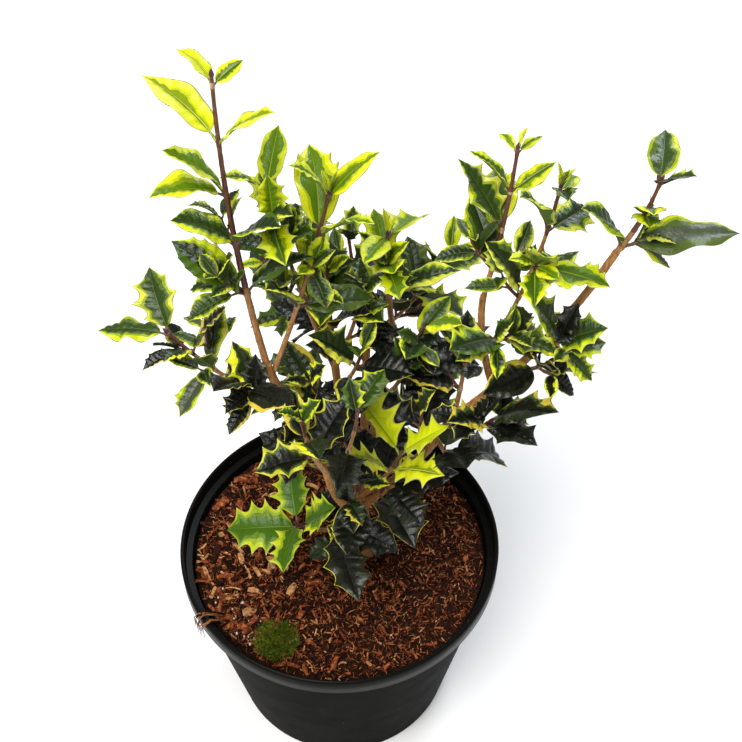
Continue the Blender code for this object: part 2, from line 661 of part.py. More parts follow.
def material_named(name, colour, roughness):
    material = bpy.data.materials.new(name)
    material.use_nodes = True
    shader = material.node_tree.nodes["Principled BSDF"]
    shader.inputs["Base Color"].default_value = (*colour, 1.0)
    shader.inputs["Roughness"].default_value = roughness
    shader.inputs["Metallic"].default_value = 0.0
    return material


def new_object(name, solid, collection=None):
    """An object whose mesh is still in millimetres, with its faces pointing out."""
    mesh = bpy.data.meshes.new(name)
    mesh.from_pydata([tuple(vertex) for vertex in solid[0]], [], solid[1])
    work = bmesh.new()
    work.from_mesh(mesh)
    bmesh.ops.recalc_face_normals(work, faces=work.faces)
    if work.calc_volume(signed=True) < 0.0:
        bmesh.ops.reverse_faces(work, faces=work.faces)
    work.to_mesh(mesh)
    work.free()
    thing = bpy.data.objects.new(name, mesh)
    (collection or bpy.context.scene.collection).objects.link(thing)
    return thing


def apply_boolean(thing, operation, other, solver="EXACT"):
    """Applies one Boolean with an object or a collection, then removes what was joined or cut with."""
    modifier = thing.modifiers.new("joint", "BOOLEAN")
    modifier.operation = operation
    modifier.solver = solver
    if isinstance(other, bpy.types.Collection):
        modifier.operand_type = "COLLECTION"
        modifier.collection = other
        spent = list(other.objects)
    else:
        modifier.object = other
        spent = [other]
    bpy.context.view_layer.update()
    graph = bpy.context.evaluated_depsgraph_get()
    before = thing.data
    thing.data = bpy.data.meshes.new_from_object(thing.evaluated_get(graph))
    thing.modifiers.clear()
    bpy.data.meshes.remove(before)
    for piece in spent:
        bpy.data.meshes.remove(piece.data)
    if isinstance(other, bpy.types.Collection):
        bpy.data.collections.remove(other)


def keep_one_body(thing):
    """Keeps the largest shell: loose scraps are dropped, and a hollow that fusing sealed is filled."""
    work = bmesh.new()
    work.from_mesh(thing.data)
    shells = []
    waiting = set(work.faces)
    while waiting:
        shell = set()
        front = [waiting.pop()]
        while front:
            face = front.pop()
            shell.add(face)
            for edge in face.edges:
                for beside in edge.link_faces:
                    if beside in waiting:
                        waiting.discard(beside)
                        front.append(beside)
        shells.append(shell)
    shells.sort(key=len)
    for shell in shells[:-1]:
        bmesh.ops.delete(work, geom=list(shell), context="FACES")
    work.to_mesh(thing.data)
    work.free()


def cut_clear(thing, limbs):
    """Cuts away the part of a limb or stem that lies in the limbs made before it, a gap beyond their bark."""
    for name, limb in limbs:
        fat = new_object("cutter", limb_solid(name, limb, GAP * 1.15))
        apply_boolean(thing, "DIFFERENCE", fat)
    keep_one_body(thing)


def finish(thing, colour, roughness, holder):
    """Turns a mesh into metres about its own lowest point, shades it, and hangs it under the holder."""
    thing.data.transform(Matrix.Scale(MM, 4))
    place = min((vertex.co.copy() for vertex in thing.data.vertices), key=lambda point: point.z)
    thing.data.transform(Matrix.Translation(-place))
    thing.location = place
    thing.data.materials.clear()
    thing.data.materials.append(material_named(thing.name, colour, roughness))
    thing.data.shade_smooth()
    thing.data.set_sharp_from_angle(angle=math.radians(35))
    thing.parent = holder


def near_limbs(solid, limbs):
    """The limbs whose bark comes within a gap of a solid."""
    tree = tree_of(solid)
    return [(name, limb) for name, limb in limbs if touches(tree, [tree_of(limb_solid(name, limb, GAP * 2))])]


def main():
    for thing in list(bpy.data.objects):
        bpy.data.objects.remove(thing)
    holder = bpy.data.objects.new("holly_olive", None)
    bpy.context.scene.collection.objects.link(holder)
    pot = pot_solid()
    soil = soil_solid()
    moss = moss_solid()
    limbs, masses = grow_plant([tree_of(pot), tree_of(soil), tree_of(moss)])
    shell = new_object("pot", pot)
    plugs = bpy.data.collections.new("plugs")
    bpy.context.scene.collection.children.link(plugs)
    drain_cutters(plugs)
    apply_boolean(shell, "DIFFERENCE", plugs)
    finish(shell, POT_COLOUR, 0.5, holder)
    finish(new_object("compost", soil), SOIL_COLOUR, 0.95, holder)
    finish(new_object("moss_tuft", moss), MOSS_COLOUR, 0.9, holder)
    done = []
    for name, limb in limbs.items():
        solid = limb_solid(name, limb)
        thing = new_object(name, solid)
        cut_clear(thing, near_limbs(solid, done))
        finish(thing, BARK_COLOUR, 0.8, holder)
        done.append((name, limb))
    for name, mass in masses.items():
        solid = stem_tube(mass.stem, STEM_SIDES, STEM_SPACING)
        thing = new_object(f"foliage_{name}", solid)
        cut_clear(thing, near_limbs(solid, done))
        pieces = [stem_tube(twig, TWIG_SIDES, STEM_SPACING) for twig in mass.twigs]
        pieces += [leaf_solid(leaf) for leaf in mass.leaves]
        fusing = bpy.data.collections.new("fusing")
        bpy.context.scene.collection.children.link(fusing)
        for piece in pieces:
            new_object("piece", piece, fusing)
        apply_boolean(thing, "UNION", fusing, "MANIFOLD")
        keep_one_body(thing)
        finish(thing, LEAF_COLOUR, 0.45, holder)
        done.append((name, mass.stem))


if __name__ == "__main__":
    main()
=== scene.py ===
"""Looks of the potted holly olive: fine leaves, twigs, bark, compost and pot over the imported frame.

Sizes are in millimetres, and MM turns them into scene metres as a mesh is made. The plant grows here by the
same seeded rule as its solids, so that every leaf keeps its place, and goes on into finer side twigs.
"""

import math
import random
from collections import namedtuple

import bpy
import numpy as np
from mathutils import Matrix, Vector, noise
from mathutils.bvhtree import BVHTree
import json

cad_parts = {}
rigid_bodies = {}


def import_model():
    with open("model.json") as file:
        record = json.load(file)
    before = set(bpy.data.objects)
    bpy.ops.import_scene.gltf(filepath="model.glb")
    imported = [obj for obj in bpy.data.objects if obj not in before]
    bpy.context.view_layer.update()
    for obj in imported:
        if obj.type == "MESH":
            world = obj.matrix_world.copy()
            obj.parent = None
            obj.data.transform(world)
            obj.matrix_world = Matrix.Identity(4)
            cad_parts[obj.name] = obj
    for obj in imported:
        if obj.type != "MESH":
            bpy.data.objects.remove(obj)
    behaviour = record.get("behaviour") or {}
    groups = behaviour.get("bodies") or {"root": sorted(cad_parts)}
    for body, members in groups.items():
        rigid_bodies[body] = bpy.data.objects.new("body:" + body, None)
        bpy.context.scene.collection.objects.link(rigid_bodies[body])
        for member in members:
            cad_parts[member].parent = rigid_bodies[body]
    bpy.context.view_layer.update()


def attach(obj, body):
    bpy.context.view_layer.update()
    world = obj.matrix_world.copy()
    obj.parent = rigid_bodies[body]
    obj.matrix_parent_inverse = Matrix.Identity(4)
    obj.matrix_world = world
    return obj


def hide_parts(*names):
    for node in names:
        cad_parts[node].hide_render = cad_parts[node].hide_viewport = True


MM = 0.001
GAP = 0.3
UP = Vector((0.0, 0.0, 1.0))

# Pot: a thin moulded cone with a wider band round its brim, a ledge inside the band's foot, and drain holes.
POT_HEIGHT = 140.0
LIP_RADIUS = 95.0
BAND_FOOT = 127.5
BODY_TOP_RADIUS = 90.4
BASE_RADIUS = 70.0
INSIDE_FOOT_RADIUS = 67.6
FLOOR = 2.4
LEDGE_HEIGHT = 130.0
LEDGE_RADIUS = 88.8
LEDGE_SLOPE_RADIUS = 88.4
LEDGE_SLOPE_HEIGHT = 127.6
DRAIN_HOLES = 6
DRAIN_RING = 48.0
DRAIN_RADIUS = 5.0
ROUND_STEPS = 40

# Compost: it fills the pot and rises a little to a flat patch under the trunk.
SOIL_TOP = 128.0
SOIL_FLAT_RADIUS = 30.0
SOIL_SHOULDER_RADIUS = 56.0
SOIL_SHOULDER = 127.4
SOIL_EDGE = 125.5
SOIL_ROUNDING = 0.8
MOSS_PLACE = (-35.0, -62.0)
MOSS_RADIUS = 10.5
MOSS_HEIGHT = 4.0

# Trunk: foot on the compost, root flare, and the fork where the boughs part.
TRUNK_FOOT = Vector((16.0, 1.0, SOIL_TOP + GAP))
TRUNK_FORK = Vector((12.0, 5.0, 176.0))
TRUNK_FOOT_RADIUS = 5.4
TRUNK_FORK_RADIUS = 4.3
FLARE = 3.2
FLARE_HEIGHT = 7.0
TRUNK_BOW = 1.5

# A bough leaves its parent at a share of the parent's length and bows outward on the way to its tip.
Bough = namedtuple("Bough", "parent share tip foot_radius tip_radius bow")
BOUGHS = {
    "bough_left": Bough("trunk", 0.86, (-33, -8, 303), 3.1, 2.3, 9),
    "bough_right": Bough("trunk", 0.80, (62, 0, 254), 3.1, 2.5, 8),
    "bough_middle": Bough("trunk", 0.98, (-1, 15, 284), 2.7, 2.1, 3),
    "bough_centre": Bough("trunk", 0.94, (29, 27, 296), 2.8, 2.0, 4),
    "bough_back": Bough("trunk", 0.66, (16, 66, 256), 2.9, 2.1, 12),
    "bough_front": Bough("trunk", 0.74, (-4, -40, 258), 2.6, 1.9, 12),
    "bough_far_right": Bough("bough_right", 0.96, (129, 0, 370), 2.4, 1.8, 13),
    "bough_upper_right": Bough("bough_far_right", 0.24, (72, 8, 334), 2.1, 1.7, 8),
}

# A shoot's first leaf pair stands at a share of its stem, turned by roll degrees from the right-hand side.
Shoot = namedtuple("Shoot", "limb share tip bow pairs first roll leaf spiny twigs")
SHOOTS = {
    "left_leader": Shoot("bough_left", 1.0, (-45, 0, 462), 10, 5, 0.28, 200, 36, 0.1, 2),
    "left_second": Shoot("bough_left", 0.93, (-1, 15, 390), 5, 4, 0.40, 190, 35, 0.1, 1),
    "left_thin": Shoot("bough_middle", 0.90, (-29, 12, 398), 4, 3, 0.70, 0, 28, 0.6, 0),
    "left_side": Shoot("bough_left", 0.70, (-82, 5, 311), 8, 3, 0.60, 60, 34, 0.1, 1),
    "left_fork": Shoot("bough_left", 0.84, (-44, -16, 292), 2, 2, 0.5, 200, 38, 0.4, 0),
    "rosette": Shoot("trunk", 0.45, (-23, -22, 186), 10, 2, 0.86, 100, 36, 1.0, 0),
    "lime": Shoot("trunk", 1.0, (34, -24, 253), 5, 3, 0.42, 80, 36, 1.0, 0),
    "skirt_front": Shoot("trunk", 0.60, (-2, -21, 182), 4, 2, 0.7, 300, 46, 0.9, 0),
    "skirt_right": Shoot("trunk", 0.78, (26, -14, 212), 5, 2, 0.7, 300, 40, 0.9, 0),
    "middle_top": Shoot("bough_middle", 1.0, (-3, 20, 338), 3, 3, 0.3, 170, 36, 0.5, 0),
    "middle_side": Shoot("bough_middle", 0.92, (14, 22, 322), 3, 3, 0.4, 20, 36, 0.5, 0),
    "centre_top": Shoot("bough_centre", 1.0, (26, 31, 352), 3, 3, 0.3, 10, 36, 0.5, 0),
    "centre_side": Shoot("bough_centre", 0.82, (45, 9, 312), 5, 3, 0.4, 340, 36, 0.5, 0),
    "right_inner": Shoot("bough_right", 0.99, (66, 5, 300), 3, 3, 0.4, 180, 38, 0.6, 0),
    "right_front": Shoot("bough_right", 0.90, (78, -26, 282), 6, 2, 0.75, 0, 38, 1.0, 0),
    "right_hang": Shoot("bough_right", 0.80, (58, -22, 252), 6, 2, 0.6, 300, 42, 1.0, 0),
    "far_right_top": Shoot("bough_far_right", 1.0, (142, 2, 408), 4, 3, 0.1, 350, 38, 0.2, 0),
    "far_right_side": Shoot("bough_far_right", 0.52, (108, -14, 328), 5, 2, 0.6, 330, 36, 0.8, 0),
    "right_middle": Shoot("bough_upper_right", 0.52, (84, -10, 326), 4, 2, 0.6, 20, 34, 0.4, 0),
    "right_branch": Shoot("bough_far_right", 0.36, (106, -8, 306), 4, 2, 0.6, 330, 34, 0.3, 0),
    "upper_right_top": Shoot("bough_upper_right", 1.0, (82, 20, 412), 6, 4, 0.2, 180, 33, 0.3, 1),
    "upper_right_side": Shoot("bough_upper_right", 0.36, (98, -6, 412), 8, 4, 0.4, 180, 34, 0.3, 1),
    "back_left": Shoot("bough_back", 0.80, (-40, 72, 298), 8, 4, 0.3, 120, 38, 0.6, 1),
    "back_middle": Shoot("bough_back", 1.0, (6, 86, 300), 6, 3, 0.3, 80, 38, 0.6, 1),
    "back_right": Shoot("bough_back", 0.90, (62, 74, 304), 8, 4, 0.3, 30, 38, 0.6, 1),
    "back_low_left": Shoot("bough_back", 0.42, (-28, 52, 224), 6, 3, 0.4, 100, 40, 0.9, 1),
    "back_low_right": Shoot("bough_back", 0.46, (58, 50, 224), 6, 3, 0.4, 40, 40, 0.9, 1),
    "front_left": Shoot("bough_front", 1.0, (-14, -46, 304), 4, 3, 0.35, 200, 34, 0.9, 0),
    "front_right": Shoot("bough_front", 0.84, (12, -38, 302), 5, 3, 0.5, 300, 34, 0.9, 0),
    "inner_left": Shoot("bough_middle", 0.62, (-12, -2, 282), 4, 3, 0.4, 200, 38, 0.6, 0),
    "inner_middle": Shoot("bough_middle", 0.78, (14, -2, 306), 4, 3, 0.4, 250, 38, 0.5, 0),
    "inner_centre": Shoot("bough_centre", 0.58, (36, 6, 288), 5, 3, 0.4, 290, 40, 0.6, 0),
    "inner_right": Shoot("bough_right", 0.62, (44, -10, 268), 4, 3, 0.5, 240, 40, 0.8, 0),
    "skirt_left": Shoot("bough_left", 0.30, (-18, -14, 240), 5, 3, 0.5, 200, 38, 0.8, 0),
    "skirt_middle": Shoot("bough_front", 0.34, (12, -28, 232), 4, 2, 0.6, 260, 42, 0.8, 0),
}
STEM_FOOT_RADIUS = 1.7
STEM_TIP_RADIUS = 0.95
TWIG_FOOT_RADIUS = 1.05
TWIG_TIP_RADIUS = 0.8
BOUGH_SIDES = 7
BOUGH_SPACING = 20.0
STEM_SIDES = 5
STEM_SPACING = 26.0
TWIG_SIDES = 4
OPEN_LOW = 70.0
OPEN_TOP = 40.0
TIP_LEAF_SHARE = 0.5
TWIG_LEAF_SHARE = 0.6

# A leaf that shows from the front is laid as listed: bearing from the right and lift in degrees, and length.
Lay = namedtuple("Lay", "bearing lift length")
LAID_LEAVES = {
    ("left_leader", 4, 0): Lay(145, 50, 20),
    ("left_leader", 4, 1): Lay(30, 30, 16),
    ("left_leader", 3, 0): Lay(150, 30, 42),
    ("left_leader", 3, 1): Lay(340, 40, 36),
    ("left_leader", 2, 0): Lay(200, 50, 38),
    ("left_leader", 1, 0): Lay(325, 60, 36),
    ("left_leader", 1, 1): Lay(195, 55, 34),
    ("left_leader", 0, 0): Lay(160, 30, 42),
    ("left_second", 3, 0): Lay(10, 45, 34),
    ("left_second", 3, 1): Lay(200, 55, 30),
    ("left_second", 2, 0): Lay(100, 55, 44),
    ("left_second", 2, 1): Lay(330, 35, 36),
    ("left_second", 1, 0): Lay(180, 65, 34),
    ("left_second", 0, 0): Lay(210, 45, 36),
    ("left_side", 2, 0): Lay(110, 35, 36),
    ("left_side", 2, 1): Lay(170, -5, 38),
    ("left_side", 1, 0): Lay(10, 55, 34),
    ("left_side", 1, 1): Lay(240, 50, 26),
    ("left_fork", 0, 0): Lay(150, 50, 30),
    ("left_fork", 1, 0): Lay(245, 45, 36),
    ("left_fork", 1, 1): Lay(315, 25, 40),
    ("rosette", 1, 0): Lay(100, 30, 38),
    ("rosette", 1, 1): Lay(260, 5, 34),
    ("rosette", 0, 0): Lay(180, 10, 44),
    ("rosette", 0, 1): Lay(345, 55, 34),
    ("left_thin", 2, 0): Lay(75, 40, 30),
    ("left_thin", 2, 1): Lay(200, 50, 24),
    ("left_side", 0, 1): Lay(250, 60, 24),
    ("lime", 2, 0): Lay(150, 48, 40),
    ("lime", 2, 1): Lay(355, 45, 34),
    ("lime", 1, 0): Lay(200, 45, 36),
    ("lime", 1, 1): Lay(330, 45, 36),
    ("front_right", 2, 1): Lay(60, 40, 26),
    ("front_right", 1, 0): Lay(120, 50, 30),
    ("front_right", 0, 0): Lay(235, 5, 32),
    ("inner_right", 2, 1): Lay(20, 30, 28),
    ("right_hang", 0, 1): Lay(320, 10, 34),
    ("skirt_front", 0, 0): Lay(330, 5, 38),
    ("skirt_front", 1, 0): Lay(285, -5, 48),
    ("skirt_front", 1, 1): Lay(125, 35, 38),
    ("skirt_right", 1, 0): Lay(0, 15, 42),
    ("skirt_right", 1, 1): Lay(310, 0, 34),
    ("centre_top", 2, 0): Lay(60, -20, 38),
    ("centre_top", 2, 1): Lay(245, 15, 30),
    ("centre_side", 2, 0): Lay(315, 40, 32),
    ("right_front", 1, 0): Lay(80, 5, 42),
    ("right_front", 1, 1): Lay(325, 40, 44),
    ("right_front", 0, 0): Lay(220, 40, 32),
    ("right_front", 0, 1): Lay(320, 35, 34),
    ("right_hang", 1, 0): Lay(285, 40, 42),
    ("right_hang", 1, 1): Lay(35, -35, 40),
    ("right_hang", 0, 0): Lay(240, 50, 34),
    ("far_right_top", 2, 0): Lay(75, 5, 36),
    ("far_right_top", 2, 1): Lay(320, 40, 20),
    ("far_right_top", 1, 0): Lay(265, 30, 26),
    ("far_right_top", 0, 0): Lay(0, 10, 52),
    ("far_right_top", 0, 1): Lay(200, 50, 40),
    ("far_right_side", 0, 0): Lay(350, 35, 28),
    ("right_branch", 0, 0): Lay(215, 5, 36),
    ("right_branch", 1, 0): Lay(310, 55, 34),
    ("right_branch", 1, 1): Lay(35, -40, 34),
    ("upper_right_top", 3, 0): Lay(115, 0, 16),
    ("upper_right_top", 3, 1): Lay(40, 5, 16),
    ("upper_right_top", 1, 0): Lay(145, 50, 40),
    ("upper_right_top", 1, 1): Lay(95, 20, 34),
    ("upper_right_top", 0, 0): Lay(115, 45, 36),
    ("upper_right_side", 3, 0): Lay(65, -15, 22),
    ("upper_right_side", 2, 0): Lay(215, 55, 36),
    ("upper_right_side", 2, 1): Lay(45, -10, 32),
    ("upper_right_side", 1, 0): Lay(270, 50, 32),
    ("upper_right_side", 1, 1): Lay(320, 15, 40),
    ("upper_right_side", 0, 0): Lay(180, 60, 38),
    ("inner_centre", 0, 0): Lay(60, 10, 38),
    ("inner_right", 0, 0): Lay(100, -10, 38),
    ("skirt_left", 0, 0): Lay(160, 24, 34),
    ("skirt_left", 1, 0): Lay(320, 40, 34),
}

PETIOLE_SHARE = 0.13
PETIOLE_HALF_WIDTH = 0.8
PETIOLE_HALF_DEPTH = 0.55
BLADE_HALF_DEPTH = 0.4
SPINY_HALF_WIDTH = 0.31
ENTIRE_HALF_WIDTH = 0.245
BLADE_START = 0.18
LEAF_CLEARANCE = 0.45
TWIG_OPENING = 44.0

# Fine leaves: rows along a blade, faces in each half row, and how the blade swells between its side veins.
BLADE_ROWS = 32
SMALL_BLADE_ROWS = 16
SMALL_BLADE = 22.0
HALF_COLUMNS = 6
BLADE_HALF_THICKNESS = 0.2
MIDRIB_HALF_WIDTH = 0.3
VEINS = 8
VEIN_SLANT = 0.10
SWELLING = 0.55
QUILTED_SWELLING = 1.0
SPINE_SHARPNESS = 2.3
SPINE_CREST = 1.18
SPINE_LEAN = 0.03
DEEP_VALLEY = 0.56
SHALLOW_VALLEY = 0.78
SPINES = 3
SLIMNESS = 0.86
FINE_TWIGS = 2
FINE_TWIG_LEAF = 24.0

# A tone: shades of the midrib, of the blade's middle, of the band round it, of that band's rim and of the
# margin, the share of the half blade where the margin starts, how far that wanders, and the chance of no margin.
Tone = namedtuple("Tone", "rib centre band rim margin edge start wander bare")
TONES = {
    "lemon": Tone("leaf_spring", ("leaf_lime", "leaf_citron"), ("leaf_citron",), "leaf_citron",
                  ("leaf_yellow", "leaf_citron"), "leaf_cream", 0.50, 0.4, 0.0),
    "lime": Tone("leaf_cream", ("leaf_olive", "leaf_olive", "leaf_lime"), ("leaf_lime",), "leaf_citron",
                 ("leaf_yellow", "leaf_citron"), "leaf_cream", 0.50, 0.4, 0.0),
    "fresh": Tone("leaf_spring", ("leaf_green", "leaf_meadow"), ("leaf_olive", "leaf_meadow"), "leaf_lime",
                  ("leaf_yellow", "leaf_citron"), "leaf_cream", 0.65, 0.5, 0.0),
    "cut": Tone("leaf_meadow", ("leaf_fern",), ("leaf_fern", "leaf_meadow"), "leaf_spring",
                ("leaf_citron", "leaf_lime"), "leaf_cream", 0.80, 0.5, 0.0),
    "mature": Tone("leaf_moss", ("leaf_forest", "leaf_deep"), ("leaf_green", "leaf_moss"), "leaf_spring",
                   ("leaf_citron", "leaf_yellow", "leaf_straw"), "leaf_cream", 0.79, 0.5, 0.25),
    "grey": Tone("leaf_moss", ("leaf_grey", "leaf_forest"), ("leaf_moss", "leaf_grey"), "leaf_spring",
                 ("leaf_citron", "leaf_lime"), "leaf_straw", 0.80, 0.4, 0.1),
    "dark": Tone("leaf_dusk", ("leaf_black",), ("leaf_black", "leaf_dusk"), "leaf_dusk",
                 ("leaf_straw", "leaf_amber"), "leaf_straw", 0.93, 0.2, 0.5),
    "patched": Tone("leaf_dusk", ("leaf_black", "leaf_deep"), ("leaf_dusk", "leaf_deep"), "leaf_moss",
                    ("leaf_straw", "leaf_amber", "leaf_yellow"), "leaf_straw", 0.66, 0.6, 0.25),
}
SHADES = {
    "leaf_cream": (0.55, 0.58, 0.10),
    "leaf_yellow": (0.66, 0.68, 0.012),
    "leaf_citron": (0.52, 0.58, 0.006),
    "leaf_lime": (0.40, 0.46, 0.003),
    "leaf_olive": (0.18, 0.24, 0.003),
    "leaf_spring": (0.23, 0.31, 0.012),
    "leaf_meadow": (0.09, 0.17, 0.003),
    "leaf_fern": (0.043, 0.104, 0.002),
    "leaf_green": (0.045, 0.095, 0.003),
    "leaf_moss": (0.07, 0.105, 0.018),
    "leaf_forest": (0.022, 0.048, 0.003),
    "leaf_deep": (0.013, 0.026, 0.004),
    "leaf_grey": (0.05, 0.066, 0.035),
    "leaf_dusk": (0.014, 0.017, 0.007),
    "leaf_black": (0.005, 0.006, 0.003),
    "leaf_straw": (0.56, 0.54, 0.05),
    "leaf_amber": (0.58, 0.42, 0.04),
    "leaf_under": (0.09, 0.13, 0.035),
    "leaf_under_dark": (0.028, 0.034, 0.014),
    "leaf_under_fresh": (0.15, 0.22, 0.03),
    "leaf_under_lime": (0.36, 0.42, 0.05),
}
# The tone of each pair of a mass, from its lowest to its tip; a mass that isn't named takes the last row.
TONE_RUNS = {
    "left_leader": ("mature", "mature", "fresh", "lime", "lime"),
    "left_second": ("mature", "fresh", "fresh", "fresh"),
    "left_thin": ("mature", "fresh", "fresh"),
    "left_side": ("mature", "patched", "mature"),
    "left_fork": ("patched", "dark"),
    "rosette": ("cut", "cut"),
    "lime": ("dark", "lemon", "lemon"),
    "skirt_front": ("dark", "dark"),
    "skirt_right": ("dark", "dark"),
    "skirt_left": ("dark", "patched", "mature"),
    "skirt_middle": ("dark", "dark"),
    "middle_top": ("dark", "mature", "fresh"),
    "middle_side": ("dark", "mature", "mature"),
    "centre_top": ("mature", "fresh", "fresh"),
    "centre_side": ("dark", "mature", "fresh"),
    "inner_left": ("dark", "dark", "patched"),
    "inner_middle": ("dark", "patched", "mature"),
    "inner_centre": ("dark", "patched", "mature"),
    "inner_right": ("dark", "dark", "patched"),
    "right_inner": ("dark", "dark", "mature"),
    "right_front": ("dark", "dark"),
    "right_hang": ("dark", "dark"),
    "far_right_top": ("grey", "fresh", "grey"),
    "far_right_side": ("mature", "dark"),
    "right_middle": ("mature", "mature"),
    "right_branch": ("dark", "mature"),
    "upper_right_top": ("mature", "fresh", "fresh", "fresh"),
    "upper_right_side": ("mature", "fresh", "mature", "fresh"),
    "front_left": ("dark", "patched", "mature"),
    "front_right": ("dark", "patched", "mature"),
}
OTHER_TONES = ("dark", "mature", "mature", "fresh")
# Leaves whose width and wave differ from the rule's, as shares of it.
RESHAPED = {
    "far_right_top 0 0": (0.7, 2.0),
    "skirt_front 1 0": (0.8, 1.2),
    "far_right_top 2 0": (0.95, 2.2),
    "left_side 2 1": (0.85, 2.0),
    "upper_right_top 1 0": (0.75, 2.0),
    "upper_right_top 3 0": (0.65, 1.5),
    "upper_right_top 3 1": (0.65, 1.5),
}
BESIDE = {"lemon": "lime", "lime": "fresh", "fresh": "mature", "cut": "cut", "mature": "grey", "grey": "mature",
          "dark": "patched", "patched": "dark"}
UNDERSIDES = {"lemon": "leaf_under_lime", "lime": "leaf_under_fresh", "fresh": "leaf_under_fresh",
              "cut": "leaf_under", "mature": "leaf_under"}
UPRIGHT_TIPS = {"upper_right_top": 1, "upper_right_side": 3, "centre_top": 2, "left_second": 2}
# Shoots round the bright leaves in front, which get no finer twigs, so that those leaves stand clear.
CLEAR_SHOOTS = ("lime", "rosette", "front_right", "front_left", "skirt_right", "right_hang", "inner_right")
YOUNG_SHOOTS = ("left_leader", "upper_right_top", "far_right_top")
STEM_SHADES = {
    "stem_young": (0.11, 0.036, 0.020),
    "stem_old": (0.33, 0.155, 0.05),
    "stem_scar": (0.36, 0.24, 0.13),
    "stalk_lime": (0.28, 0.30, 0.04),
    "stalk_brown": (0.10, 0.055, 0.025),
    "bud_purple": (0.075, 0.028, 0.035),
}

# Turns about the stem and lifts, in degrees, tried in this order until a leaf stands clear.
LEAF_TRIES = ((0, 0), (14, 0), (-14, 0), (0, 16), (26, 8), (-26, 8), (0, -18), (38, 20), (-38, 20))

Curve = namedtuple("Curve", "start middle tip")
Twig = namedtuple("Twig", "curve foot_radius tip_radius")
Leaf = namedtuple("Leaf", "name base chord face length half_width teeth droop fold")


def bowed(start, tip, bow):
    """A parabola from start to tip that swings outward and down by half of bow at its middle."""
    start = Vector(start)
    tip = Vector(tip)
    along = (tip - start).normalized()
    outward = along * along.z - UP
    outward = outward.normalized() if outward.length > 0.01 else Vector((1.0, 0.0, 0.0))
    return Curve(start, (start + tip) / 2 + outward * bow, tip)


def place_at(curve, share):
    return curve.start.lerp(curve.middle, share).lerp(curve.middle.lerp(curve.tip, share), share)


def heading_at(curve, share):
    return (curve.middle - curve.start).lerp(curve.tip - curve.middle, share).normalized()


def length_of(curve):
    legs = (curve.middle - curve.start).length + (curve.tip - curve.middle).length
    return (legs + (curve.tip - curve.start).length) / 2


def across(axis):
    """Two unit vectors square to an axis: the first leans to the right, the second away from the front."""
    first = (Vector((1.0, 0.0, 0.0)) - axis * axis.x).normalized()
    return first, axis.cross(first)


def pointing(bearing, lift):
    bearing = math.radians(bearing)
    lift = math.radians(lift)
    return Vector((math.cos(bearing) * math.cos(lift), math.sin(bearing) * math.cos(lift), math.sin(lift)))


def tube(points, radii, sides, pointed=False):
    """Rings of sides corners round each point, with a flat foot and a flat or pointed tip."""
    vertices = []
    faces = []
    first, second = across((points[1] - points[0]).normalized())
    last = len(points) - 1
    for number, (point, radius) in enumerate(zip(points, radii)):
        along = (points[min(number + 1, last)] - points[max(number - 1, 0)]).normalized()
        first = (first - along * first.dot(along)).normalized()
        second = along.cross(first)
        for corner in range(sides):
            angle = 2 * math.pi * corner / sides
            vertices.append(point + (first * math.cos(angle) + second * math.sin(angle)) * radius)
    for ring in range(last):
        for corner in range(sides):
            here = ring * sides + corner
            there = ring * sides + (corner + 1) % sides
            faces.append((here, there, there + sides, here + sides))
    faces.append(tuple(reversed(range(sides))))
    if pointed:
        vertices.append(points[-1] + (points[-1] - points[-2]).normalized() * radii[-1] * 1.6)
        apex = len(vertices) - 1
        for corner in range(sides):
            faces.append((last * sides + corner, last * sides + (corner + 1) % sides, apex))
    else:
        faces.append(tuple(range(last * sides, (last + 1) * sides)))
    return vertices, faces


def stem_tube(twig, sides, spacing, extra=0.0, pointed=True):
    """A tube along a twig's curve, with a ring about every spacing millimetres."""
    rings = max(2, round(length_of(twig.curve) / spacing) + 1)
    shares = [ring / (rings - 1) for ring in range(rings)]
    points = [place_at(twig.curve, share) for share in shares]
    radii = [twig.foot_radius + (twig.tip_radius - twig.foot_radius) * share + extra for share in shares]
    return tube(points, radii, sides, pointed)


def leaf_outline(leaf):
    """(share of length, half width) up one side, from the petiole's root to the leaf's tip."""
    blade = 1.0 - PETIOLE_SHARE

    def row(point, scale):
        width = leaf.half_width * math.sin(math.pi * point**0.85) ** 0.7
        return PETIOLE_SHARE + blade * point, width * scale

    side = [(0.0, PETIOLE_HALF_WIDTH)]
    if leaf.teeth:
        step = 0.82 / (leaf.teeth + 0.25)
        for tooth in range(leaf.teeth):
            point = 0.12 + step * (tooth + 0.3)
            side += [row(point, 1.12), row(point + step * 0.42, 0.66)]
    else:
        side += [row(0.26, 1.0), row(0.66, 1.0)]
    side.append((1.0, 0.0))
    return side


def leaf_point(leaf, share, aside, rise):
    """A point of the bent blade: share of its length, millimetres beside the midrib and above the blade."""
    bend = max(leaf.droop, 0.01)
    stretch = leaf.length * bend / (2 * math.sin(bend / 2))
    turned = bend * (0.5 - share)
    forward = stretch * (math.sin(bend / 2) - math.sin(turned)) / bend
    raised = stretch * (math.cos(turned) - math.cos(bend / 2)) / bend
    normal = leaf.face * math.cos(turned) - leaf.chord * math.sin(turned)
    beside = leaf.face.cross(leaf.chord)
    return (
        leaf.base
        + leaf.chord * forward
        + leaf.face * raised
        + beside * aside * math.cos(leaf.fold)
        + normal * (abs(aside) * math.sin(leaf.fold) + rise)
    )


